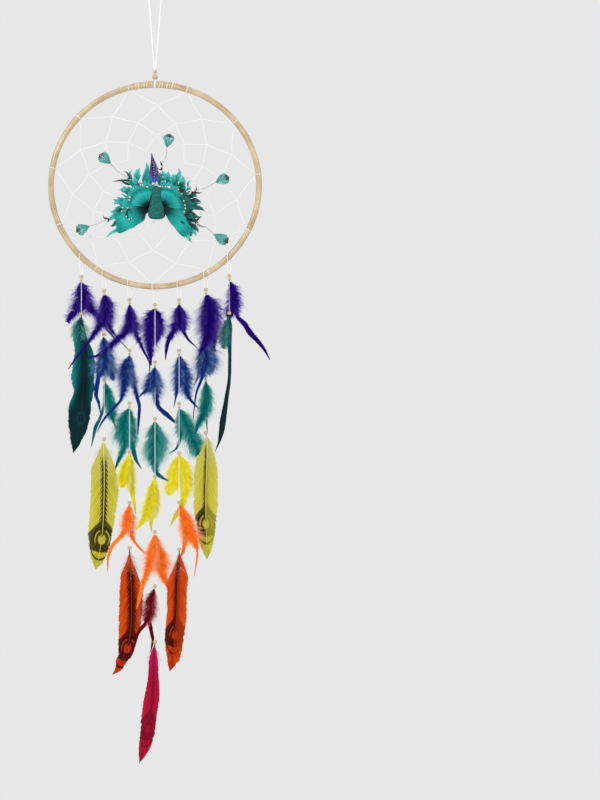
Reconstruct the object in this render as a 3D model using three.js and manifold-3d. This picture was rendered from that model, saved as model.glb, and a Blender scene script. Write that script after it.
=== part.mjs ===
// Dream catcher: a rattan hoop with a thread web, a feather peacock in the web's middle, and
// seven strands of wooden beads and dyed feathers that hang from the lower rim.
// Millimetres, +Z up, the front faces -Y. The origin is the top of the hanging loop.

import * as THREE from "three";
import * as BufferGeometryUtils from "three/addons/utils/BufferGeometryUtils.js";
import Module from "manifold-3d";

const wasm = await Module();
wasm.setup();

// ---- driving dimensions ----
const HOOP_WIDTH = 320;
const HOOP_HEIGHT = 311;
const CANE = 9; // thickness of the rattan
const HOOP_TOP_Z = -134; // how far the hoop's highest point hangs below the loop's top
const GAP = 0.3; // clearance between neighbouring pieces

const LOOP_CORD = 2;
const BINDING_THICKNESS = 0.8;
const BINDING_HALF_ANGLE = THREE.MathUtils.degToRad(11.5);
const HANGER_CORD = 1.2;
const LARGE_BEAD = 8.9;
const SMALL_BEAD = 5.7;
const KNOT = 3.6;

const WEB_ANCHORS = 11;
const WEB_FIRST_ANCHOR = THREE.MathUtils.degToRad(6.4);
const WEB_ROWS = [0.937, 0.8, 0.645, 0.5, 0.36]; // each row's nodes, as a share of the hoop's radius
const WEB_THREAD = 1.2;

const STRAND_CORD = 1.6;
const LOOP_SLACK = 0.9; // a strand's loop is a little wider than the cane it hangs on
const BORE = 1.2; // radius of the hole through beads and feather bundles
const STRAND_BEAD = 6;
const LITTLE_BEAD = 4.4;
const LANE = 32; // widest a bundle may be, so that neighbouring strands swing past each other
const VANE_THICKNESS = 2.4;
const QUILL = 2.2;

const COLOURS = {
  thread: 0xf2f1ee,
  cane: 0xd9b984,
  binding: 0xe3c79a,
  bead: 0xd8bf96,
  felt: 0x1f7f70,
  gem: 0xdfe6ea,
  teal: 0x15958f,
  dark_green: 0x0d4a4a,
  purple: 0x34149a,
  blue: 0x1f4fa3,
  yellow: 0xdfe01f,
  lime: 0xc6cf3a,
  orange: 0xff6a1f,
  rust: 0xe04e12,
  crimson: 0x8f1238,
  pink: 0xc01a4c,
};

// ---- what hangs on each strand ----
// x is the strand's place under the hoop. Every other number is a distance down the strand from
// the middle of the cane: the bead, then where the bundle starts and ends, then its width.
// The lower body starts at the bundle that says joint.
const STRANDS = [
  {
    x: -110,
    bundles: [{ name: "purple", beads: [29.5, 35], from: 38, to: 80, width: 32 }],
    tail: { colour: "dark_green", bead: 85, from: 89, to: 291, width: 36, shift: -2, bend: -11 },
  },
  {
    x: -76,
    bundles: [
      { name: "purple", beads: [25.5, 31], from: 33, to: 74, width: 25 },
      { name: "blue", beads: [91], from: 97, to: 153, width: 32 },
      { name: "teal", beads: [159.5], from: 163, to: 206, width: 20, joint: true },
    ],
    tail: { colour: "lime", bead: 247, from: 252, to: 441, width: 38, shift: -2, bend: -12 },
  },
  {
    x: -38,
    bundles: [
      { name: "purple", beads: [24, 29.5], from: 32, to: 76, width: 27 },
      { name: "blue", beads: [100, 105.5], from: 111, to: 152, width: 25 },
      { name: "teal", beads: [179, 184.5], from: 187, to: 246, width: 32, joint: true },
      { name: "yellow", beads: [252], from: 256, to: 302, width: 31 },
      { name: "orange", beads: [328], from: 334, to: 372, width: 25 },
    ],
    tail: { colour: "rust", bead: 395, from: 403, to: 583, width: 36, shift: -1, bend: -22 },
  },
  {
    x: 0,
    bundles: [
      { name: "purple", beads: [27, 32.5], from: 34, to: 108, width: 32 },
      { name: "blue", beads: [113, 118.5], from: 122, to: 161, width: 27 },
      { name: "teal", beads: [198], from: 205, to: 275, width: 32 },
      { name: "yellow", beads: [284.5], from: 289, to: 357, width: 31, joint: true },
      { name: "orange", beads: [367], from: 373, to: 433, width: 32 },
      { name: "crimson", beads: [448], from: 454, to: 505, width: 20 },
    ],
    tail: { colour: "pink", bead: 531, from: 541, to: 711, width: 30, shift: -4, bend: -18 },
  },
  {
    x: 36,
    bundles: [
      { name: "purple", beads: [24, 29.5], from: 33, to: 83, width: 25 },
      { name: "blue", beads: [100, 105.5], from: 111, to: 164, width: 31 },
      { name: "teal", beads: [179, 184.5], from: 187, to: 248, width: 32, joint: true },
      { name: "yellow", beads: [253], from: 257, to: 318, width: 32 },
      { name: "orange", beads: [327], from: 334, to: 391, width: 32 },
    ],
    tail: { colour: "rust", bead: 397, from: 403, to: 579, width: 34, shift: -3, bend: -11 },
  },
  {
    x: 76,
    bundles: [
      { name: "purple", beads: [24, 29.5], from: 32, to: 90, width: 32 },
      { name: "blue", beads: [95], from: 98, to: 146, width: 32 },
      { name: "teal", beads: [153, 158.5], from: 162, to: 217, width: 27, joint: true },
    ],
    tail: { colour: "lime", bead: 238, from: 244, to: 426, width: 36, shift: -1, bend: 1 },
  },
  {
    x: 111,
    bundles: [{ name: "purple", beads: [29.5, 35], from: 38, to: 80, width: 25 }],
    tail: { colour: "dark_green", bead: 85, from: 89, to: 291, width: 20, shift: -2, bend: -17 },
  },
];

// ---- the hanging loop's route, right leg up and left leg down ----
const LOOP_ROUTE = [
  [1.2, -112.2],
  [2.3, -98],
  [3.6, -82],
  [4.9, -66],
  [6.1, -50],
  [7.3, -34],
  [8.4, -21],
  [9.1, -12],
  [8.6, -6.9],
  [6.5, -3.6],
  [3.5, -1.6],
  [0, -1],
  [-3.5, -1.6],
  [-6.5, -3.6],
  [-8.6, -6.9],
  [-9.1, -12],
  [-8.4, -21],
  [-7.3, -34],
  [-6.1, -50],
  [-4.9, -66],
  [-3.6, -82],
  [-2.3, -98],
  [-1.2, -112.2],
];

// ---- sizes that follow from the driving dimensions ----
const RIM_A = (HOOP_WIDTH - CANE) / 2;
const RIM_B = (HOOP_HEIGHT - CANE) / 2;
const HOOP_Z = HOOP_TOP_Z - HOOP_HEIGHT / 2;
const RIM_TOP_Z = HOOP_Z + RIM_B;

const part = new THREE.Group();

// ---- helpers ----
function finish(name, geometry, colour, roughness = 0.8) {
  const material = new THREE.MeshStandardMaterial({
    color: COLOURS[colour],
    roughness,
    metalness: 0,
  });
  const mesh = new THREE.Mesh(geometry, material);
  mesh.name = name;
  return mesh;
}

function toSolid(geometry) {
  const plain = geometry.clone();
  plain.deleteAttribute("normal");
  plain.deleteAttribute("uv");
  const merged = BufferGeometryUtils.mergeVertices(plain, 1e-4);
  const mesh = new wasm.Mesh({
    numProp: 3,
    vertProperties: new Float32Array(merged.attributes.position.array),
    triVerts: new Uint32Array(merged.index.array),
  });
  return new wasm.Manifold(mesh);
}

function fromSolid(solid) {
  const mesh = solid.getMesh();
  const geometry = new THREE.BufferGeometry();
  geometry.setAttribute("position", new THREE.BufferAttribute(mesh.vertProperties, 3));
  geometry.setIndex(new THREE.BufferAttribute(mesh.triVerts, 1));
  geometry.computeVertexNormals();
  return geometry;
}

function join(geometries) {
  const solids = geometries.map(toSolid);
  return fromSolid(solids.reduce((whole, solid) => whole.add(solid)));
}

// A solid of revolution about Z from [radius, z] points that close on themselves.
function turned(points, sides) {
  const profile = points.map(([r, z]) => new THREE.Vector2(r, z));
  profile.push(profile[0].clone());
  const geometry = new THREE.LatheGeometry(profile, sides);
  geometry.rotateX(Math.PI / 2);
  return geometry;
}

function roundSection(radius, sides) {
  const section = new THREE.Shape();
  for (let i = 0; i < sides; i++) {
    const t = (i / sides) * Math.PI * 2;
    const at = [radius * Math.cos(t), radius * Math.sin(t)];
    if (i === 0) section.moveTo(...at);
    else section.lineTo(...at);
  }
  section.closePath();
  return section;
}

function tube(points, diameter, steps, sides = 8) {
  const path = new THREE.CatmullRomCurve3(points.map((p) => new THREE.Vector3(...p)));
  return new THREE.ExtrudeGeometry(roundSection(diameter / 2, sides), { extrudePath: path, steps });
}

// A flat plate whose outline is drawn in X and Z; it is thick along Y, centred on y.
function plate(outline, thickness, y = 0) {
  const shape = new THREE.Shape(outline.map(([x, z]) => new THREE.Vector2(x, z)));
  const geometry = new THREE.ExtrudeGeometry(shape, { depth: thickness, bevelEnabled: false });
  geometry.rotateX(Math.PI / 2);
  geometry.translate(0, y + thickness / 2, 0);
  return geometry;
}

function smoothOutline(points, count) {
  const curve = new THREE.CatmullRomCurve3(
    points.map(([x, z]) => new THREE.Vector3(x, z, 0)),
    true,
    "centripetal",
  );
  return curve.getPoints(count).slice(0, count).map((p) => [p.x, p.y]);
}

function rimZ(x) {
  return HOOP_Z - RIM_B * Math.sqrt(1 - (x / RIM_A) ** 2);
}

function rimSlope(x) {
  return (RIM_B * x) / (RIM_A ** 2 * Math.sqrt(1 - (x / RIM_A) ** 2));
}

// ---- hanger ----
function ball(diameter, bore, sides = 10) {
  const r = diameter / 2;
  const reach = Math.sqrt(r * r - bore * bore);
  const start = Math.atan2(reach, bore);
  const points = [];
  for (let i = 0; i <= 4; i++) {
    const t = -start + (2 * start * i) / 4;
    points.push([r * Math.cos(t), r * Math.sin(t)]);
  }
  return turned(points, sides);
}

function ring(centreRadius, cord, around = 12, section = 6) {
  const points = [];
  for (let i = 0; i < section; i++) {
    const t = (i / section) * Math.PI * 2;
    points.push([centreRadius + (cord / 2) * Math.cos(t), (cord / 2) * Math.sin(t)]);
  }
  const geometry = turned(points, around);
  geometry.rotateY(Math.PI / 2);
  return geometry;
}

const wrapRadius = CANE / 2 + BINDING_THICKNESS + GAP + HANGER_CORD / 2 + 0.1;
const largeBeadZ = RIM_TOP_Z + wrapRadius + HANGER_CORD / 2 + GAP + LARGE_BEAD / 2;
const smallBeadZ = largeBeadZ + LARGE_BEAD / 2 + GAP + SMALL_BEAD / 2;
const knotZ = smallBeadZ + SMALL_BEAD / 2 + GAP + KNOT / 2;

function hangerCord() {
  const wrap = ring(wrapRadius, HANGER_CORD);
  wrap.translate(0, 0, RIM_TOP_Z);
  const stem = tube([[0, 0, RIM_TOP_Z + wrapRadius], [0, 0, knotZ]], HANGER_CORD, 4);
  const knot = new THREE.SphereGeometry(KNOT / 2, 10, 6);
  knot.translate(0, 0, knotZ);
  return join([wrap, stem, knot]);
}

function makeHanger() {
  const route = LOOP_ROUTE.map(([x, z]) => [x, 0, z]);
  part.add(finish("hanging_loop", tube(route, LOOP_CORD, 36), "thread"));
  part.add(finish("hanger_cord", hangerCord(), "thread"));
  const large = finish("hanger_bead_large", ball(LARGE_BEAD, 1), "bead", 0.5);
  large.position.z = largeBeadZ;
  const small = finish("hanger_bead_small", ball(SMALL_BEAD, 1), "bead", 0.5);
  small.position.z = smallBeadZ;
  part.add(large, small);
}

// ---- hoop, binding and web ----
function hoopGeometry() {
  const section = 8;
  const points = [];
  for (let i = 0; i < section; i++) {
    const t = (i / section) * Math.PI * 2;
    points.push(new THREE.Vector2(RIM_A + (CANE / 2) * Math.cos(t), (CANE / 2) * Math.sin(t)));
  }
  points.push(points[0].clone());
  const geometry = new THREE.LatheGeometry(points, 48);
  geometry.scale(1, 1, RIM_B / RIM_A);
  return geometry;
}

function bindingGeometry() {
  const outer = CANE / 2 + BINDING_THICKNESS;
  const sleeve = roundSection(outer, 12);
  sleeve.holes.push(roundSection(CANE / 2 + GAP + 0.1, 12));
  const points = [];
  for (let i = -4; i <= 4; i++) {
    const t = Math.PI / 2 - (i / 4) * BINDING_HALF_ANGLE;
    points.push(new THREE.Vector3(RIM_A * Math.cos(t), 0, RIM_B * Math.sin(t)));
  }
  const path = new THREE.CatmullRomCurve3(points);
  return new THREE.ExtrudeGeometry(sleeve, { extrudePath: path, steps: 8 });
}

function webNode(row, k) {
  const angle = WEB_FIRST_ANCHOR + ((k + (row % 2) / 2) / WEB_ANCHORS) * Math.PI * 2;
  const share = WEB_ROWS[row];
  return [RIM_A * share * Math.cos(angle), RIM_B * share * Math.sin(angle)];
}

// Moves each side of a counter-clockwise outline inward by distance.
function inset(outline, distance) {
  const count = outline.length;
  return outline.map((corner, i) => {
    const before = outline[(i + count - 1) % count];
    const after = outline[(i + 1) % count];
    const a = new THREE.Vector2(corner[0] - before[0], corner[1] - before[1]).normalize();
    const b = new THREE.Vector2(after[0] - corner[0], after[1] - corner[1]).normalize();
    const turn = 1 + a.dot(b);
    const x = corner[0] - ((a.y + b.y) * distance) / turn;
    const z = corner[1] + ((a.x + b.x) * distance) / turn;
    return [x, z];
  });
}

function zigzag(row) {
  const points = [];
  for (let k = 0; k < WEB_ANCHORS; k++) {
    points.push(row % 2 ? webNode(row + 1, k) : webNode(row, k));
    points.push(row % 2 ? webNode(row, k) : webNode(row + 1, k));
  }
  return points;
}

function webCell(row, k) {
  const side = row % 2 ? k + 1 : k;
  return [webNode(row, k), webNode(row + 1, side), webNode(row + 2, k), webNode(row + 1, side - 1)];
}

function webGeometry() {
  const vectors = (outline) => outline.map(([x, z]) => new THREE.Vector2(x, z));
  const net = new THREE.Shape(vectors(inset(zigzag(0), -WEB_THREAD / 2)));
  const last = WEB_ROWS.length - 1;
  for (let row = 0; row < last - 1; row++) {
    for (let k = 0; k < WEB_ANCHORS; k++) {
      net.holes.push(new THREE.Path(vectors(inset(webCell(row, k), WEB_THREAD / 2))));
    }
  }
  net.holes.push(new THREE.Path(vectors(inset(zigzag(last - 1), WEB_THREAD / 2))));
  const geometry = new THREE.ExtrudeGeometry(net, { depth: WEB_THREAD, bevelEnabled: false });
  geometry.rotateX(Math.PI / 2);
  geometry.translate(0, WEB_THREAD / 2, 0);
  return geometry;
}

function makeHoop() {
  const group = new THREE.Group();
  group.position.z = HOOP_Z;
  group.add(finish("hoop", hoopGeometry(), "cane", 0.6));
  group.add(finish("hoop_binding", bindingGeometry(), "binding", 0.7));
  group.add(finish("web", webGeometry(), "thread"));
  part.add(group);
  return group;
}

// ---- peacock: a felt body, two feather fans, a crest and five wire plumes ----
const BODY_HEIGHT = 50;
const BODY_WIDTH = 28;
const BODY_DEPTH = 19;
const BODY_X = 3.4;
const BODY_Y = -13;
const FAN_THICKNESS = 9;
const FAN_Y = -8.5;

const FAN_LEFT = [
  [-12.5, -3],
  [-12.5, 16],
  [-26, 30],
  [-44, 24],
  [-56, 2],
  [-70, -14],
  [-80, -42],
  [-74, -74],
  [-44, -70],
  [-20, -56],
  [-14, -38],
];
const FAN_RIGHT = [
  [19.5, -38],
  [28, -58],
  [48, -80],
  [58, -84],
  [66, -60],
  [70, -32],
  [58, -8],
  [46, 22],
  [30, 28],
  [19.5, 16],
  [19, -5],
];
const CREST = [
  [1, 1.5],
  [7.5, 16],
  [-4.5, 48],
  [-8.5, 18],
];
// Each plume's wire base, and the middle and length of the leaf at its end.
const PLUMES = [
  { base: [-40, 10], leaf: [-73, 38], length: 22 },
  { base: [13, 32], leaf: [21, 65], length: 21 },
  { base: [58, -10], leaf: [101, 7], length: 21 },
  { base: [-72, -52], leaf: [-106, -66], length: 22 },
  { base: [64, -60], leaf: [99, -80], length: 25 },
];
const LEAF_WIDTH = 16;
const WIRE = 1.2;
const PLUME_Y = -14.4;
const GEM_STRING = [
  [-46, -36],
  [-42, -14],
  [-28, 0],
  [-12, 2],
  [4, 2.4],
  [20, 2],
  [36, -4],
  [46, -18],
  [50, -34],
];
const GEM_WIDTH = 2.4;
const GEM_Y = -16.8;

function peacockBody() {
  const half = BODY_WIDTH / 2;
  const points = [
    [0, 0],
    [half * 0.7, 0.8],
    [half * 0.98, 6],
    [half * 0.82, 24],
    [half * 0.56, 42],
    [half * 0.38, 48.5],
    [0, BODY_HEIGHT],
  ];
  const profile = points.map(([r, z]) => new THREE.Vector2(r, z));
  const geometry = new THREE.LatheGeometry(profile, 14);
  geometry.rotateX(Math.PI / 2);
  geometry.scale(1, BODY_DEPTH / BODY_WIDTH, 1);
  geometry.translate(BODY_X, BODY_Y, -BODY_HEIGHT - 1.5);
  return geometry;
}

// A wire from the fan to a leaf-shaped plume whose point looks back along the wire.
function plumeGeometry({ base, leaf, length }) {
  const way = new THREE.Vector2(leaf[0] - base[0], leaf[1] - base[1]);
  const reach = way.length();
  const outline = smoothOutline(
    [
      [-length / 2, 0],
      [-length * 0.1, -LEAF_WIDTH * 0.42],
      [length * 0.3, -LEAF_WIDTH * 0.46],
      [length / 2, 0],
      [length * 0.3, LEAF_WIDTH * 0.46],
      [-length * 0.1, LEAF_WIDTH * 0.42],
    ],
    16,
  );
  const blade = plate(outline, 2);
  const wire = tube([[-reach, 0, 0], [-length * 0.4, 0, 0]], WIRE, 6);
  const geometry = join([blade, wire]);
  geometry.rotateY(-way.angle());
  geometry.translate(leaf[0], PLUME_Y, leaf[1]);
  return geometry;
}

function makePeacock(group) {
  group.add(finish("peacock_body", peacockBody(), "felt", 0.95));
  const left = plate(smoothOutline(FAN_LEFT, 33), FAN_THICKNESS, FAN_Y);
  const right = plate(smoothOutline(FAN_RIGHT, 33), FAN_THICKNESS, FAN_Y);
  group.add(finish("peacock_fan_left", left, "teal", 0.6));
  group.add(finish("peacock_fan_right", right, "teal", 0.6));
  group.add(finish("peacock_crest", plate(CREST, 2, BODY_Y), "purple", 0.4));
  const gems = tube(GEM_STRING.map(([x, z]) => [x, GEM_Y, z]), GEM_WIDTH, 16);
  group.add(finish("peacock_gems", gems, "gem", 0.1));
  PLUMES.forEach((plume, i) => {
    group.add(finish(`plume_${i + 1}`, plumeGeometry(plume), "teal", 0.5));
  });
}

// ---- strands ----
function beadOutline(middle, diameter) {
  const r = diameter / 2;
  return [
    [r * 0.78, -middle + r * 0.63],
    [r, -middle],
    [r * 0.78, -middle - r * 0.63],
  ];
}

// One or two beads and the feather bundle tied under them, all turned round the strand's cord.
function bundleGeometry({ beads, from, to, width }) {
  const half = Math.min(width, LANE) / 2;
  const length = to - from;
  const top = beads[0] - STRAND_BEAD / 2;
  const outline = [
    [BORE, -top],
    ...beadOutline(beads[0], STRAND_BEAD),
    ...(beads.length > 1 ? beadOutline(beads[1], LITTLE_BEAD) : []),
    [half * 0.75, -from - length * 0.2],
    [half, -from - length * 0.5],
    [half * 0.7, -from - length * 0.82],
    [BORE + 1, -to],
    [BORE, -to],
  ];
  return turned(outline.reverse(), 8);
}

// A bead, a quill and a flat vane that bends to one side at its tip.
function tailGeometry({ bead, from, to, width, shift, bend }) {
  const length = to - from;
  const shares = [0.35, 0.78, 1, 0.94, 0.62];
  const along = (t) => shift * Math.sin(Math.PI * Math.min(t, 0.5)) + bend * t ** 2.4;
  const edge = (side) =>
    shares.map((share, i) => {
      const t = 0.04 + i * 0.21;
      return [along(t) + (side * share * width) / 2, -from - length * t];
    });
  const outline = [...edge(1), [bend, -to], ...edge(-1).reverse()];
  const vane = plate(outline.reverse(), VANE_THICKNESS);
  const quill = tube([[0, 0, -bead], [0, 0, -from - length * 0.1]], QUILL, 2, 6);
  return join([ballUnbored(bead), quill, vane]);
}

function ballUnbored(bead) {
  const geometry = new THREE.SphereGeometry(STRAND_BEAD / 2, 10, 7);
  geometry.rotateX(Math.PI / 2);
  geometry.translate(0, 0, -bead);
  return geometry;
}

// The cord's loop round the cane, wide enough to turn on the slanted rim, and its straight run.
function upperCord(x, end) {
  const slant = Math.sqrt(1 + rimSlope(x) ** 2);
  const loopRadius = (CANE / 2) * slant + LOOP_SLACK + STRAND_CORD / 2;
  const loop = ring(loopRadius, STRAND_CORD, 12);
  const run = tube([[0, 0, -loopRadius], [0, 0, -end]], STRAND_CORD, 3);
  return join([loop, run]);
}

function makeStrand(strand, number) {
  const group = new THREE.Group();
  group.position.set(strand.x, 0, rimZ(strand.x));
  const name = `strand_${number}`;
  const tailTop = strand.tail.bead - STRAND_BEAD / 2 - GAP;
  const split = strand.bundles.find((bundle) => bundle.joint);
  const upperEnd = split ? split.beads[0] - STRAND_BEAD / 2 - GAP : tailTop;
  group.add(finish(`${name}_cord_upper`, upperCord(strand.x, upperEnd), "thread"));
  if (split) {
    const lower = tube([[0, 0, -split.beads[0]], [0, 0, -tailTop]], STRAND_CORD, 3);
    group.add(finish(`${name}_cord_lower`, lower, "thread"));
  }
  for (const bundle of strand.bundles) {
    group.add(finish(`${name}_${bundle.name}`, bundleGeometry(bundle), bundle.name, 0.9));
  }
  const tail = finish(`${name}_tail_feather`, tailGeometry(strand.tail), strand.tail.colour);
  group.add(tail);
  part.add(group);
}

makeHanger();
makePeacock(makeHoop());
STRANDS.forEach((strand, i) => makeStrand(strand, i + 1));

export default part;
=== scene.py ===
import math

import bpy
import numpy as np
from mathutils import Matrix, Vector


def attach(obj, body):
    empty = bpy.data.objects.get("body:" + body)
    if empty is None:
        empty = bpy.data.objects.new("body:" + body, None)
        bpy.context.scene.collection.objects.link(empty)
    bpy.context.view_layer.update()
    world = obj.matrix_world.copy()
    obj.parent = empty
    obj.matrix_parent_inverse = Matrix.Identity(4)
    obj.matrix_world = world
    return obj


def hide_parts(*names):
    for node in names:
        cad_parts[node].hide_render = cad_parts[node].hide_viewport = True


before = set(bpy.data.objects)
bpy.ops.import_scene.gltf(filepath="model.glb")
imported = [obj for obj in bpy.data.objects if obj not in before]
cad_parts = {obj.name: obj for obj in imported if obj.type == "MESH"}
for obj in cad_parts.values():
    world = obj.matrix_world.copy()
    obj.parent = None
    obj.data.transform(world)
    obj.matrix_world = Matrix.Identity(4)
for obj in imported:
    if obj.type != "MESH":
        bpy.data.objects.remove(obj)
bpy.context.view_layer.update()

MM = 0.001
FRONT = (0.0, -1.0, 0.0)
TURN = 2 * math.pi

# ---- dimensions from the CAD, in millimetres ----
RIM_A = 155.5
RIM_B = 151.0
HOOP_Z = -289.5
RIM_TOP_Z = HOOP_Z + RIM_B
CANE_RADIUS = 4.5
CANE_JOINTS = [32, 74, 133, 187, 236, 301]
BINDING_HALF_ANGLE = math.radians(11.5)
LOOP_CORD = 2.0
KNOT_Z = -114.3
SMALL_BEAD_Z = -119.25
LARGE_BEAD_Z = -126.85
WEB_ANCHORS = 11
WEB_FIRST_ANCHOR = math.radians(6.4)
WEB_ROWS = [0.985, 0.8, 0.645, 0.5, 0.36]
WEB_THREAD = 0.6
STRAND_THREAD = 1.1
STRAND_BEAD = 6.0
LITTLE_BEAD = 4.4
SPINE_POINTS = 61

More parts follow.
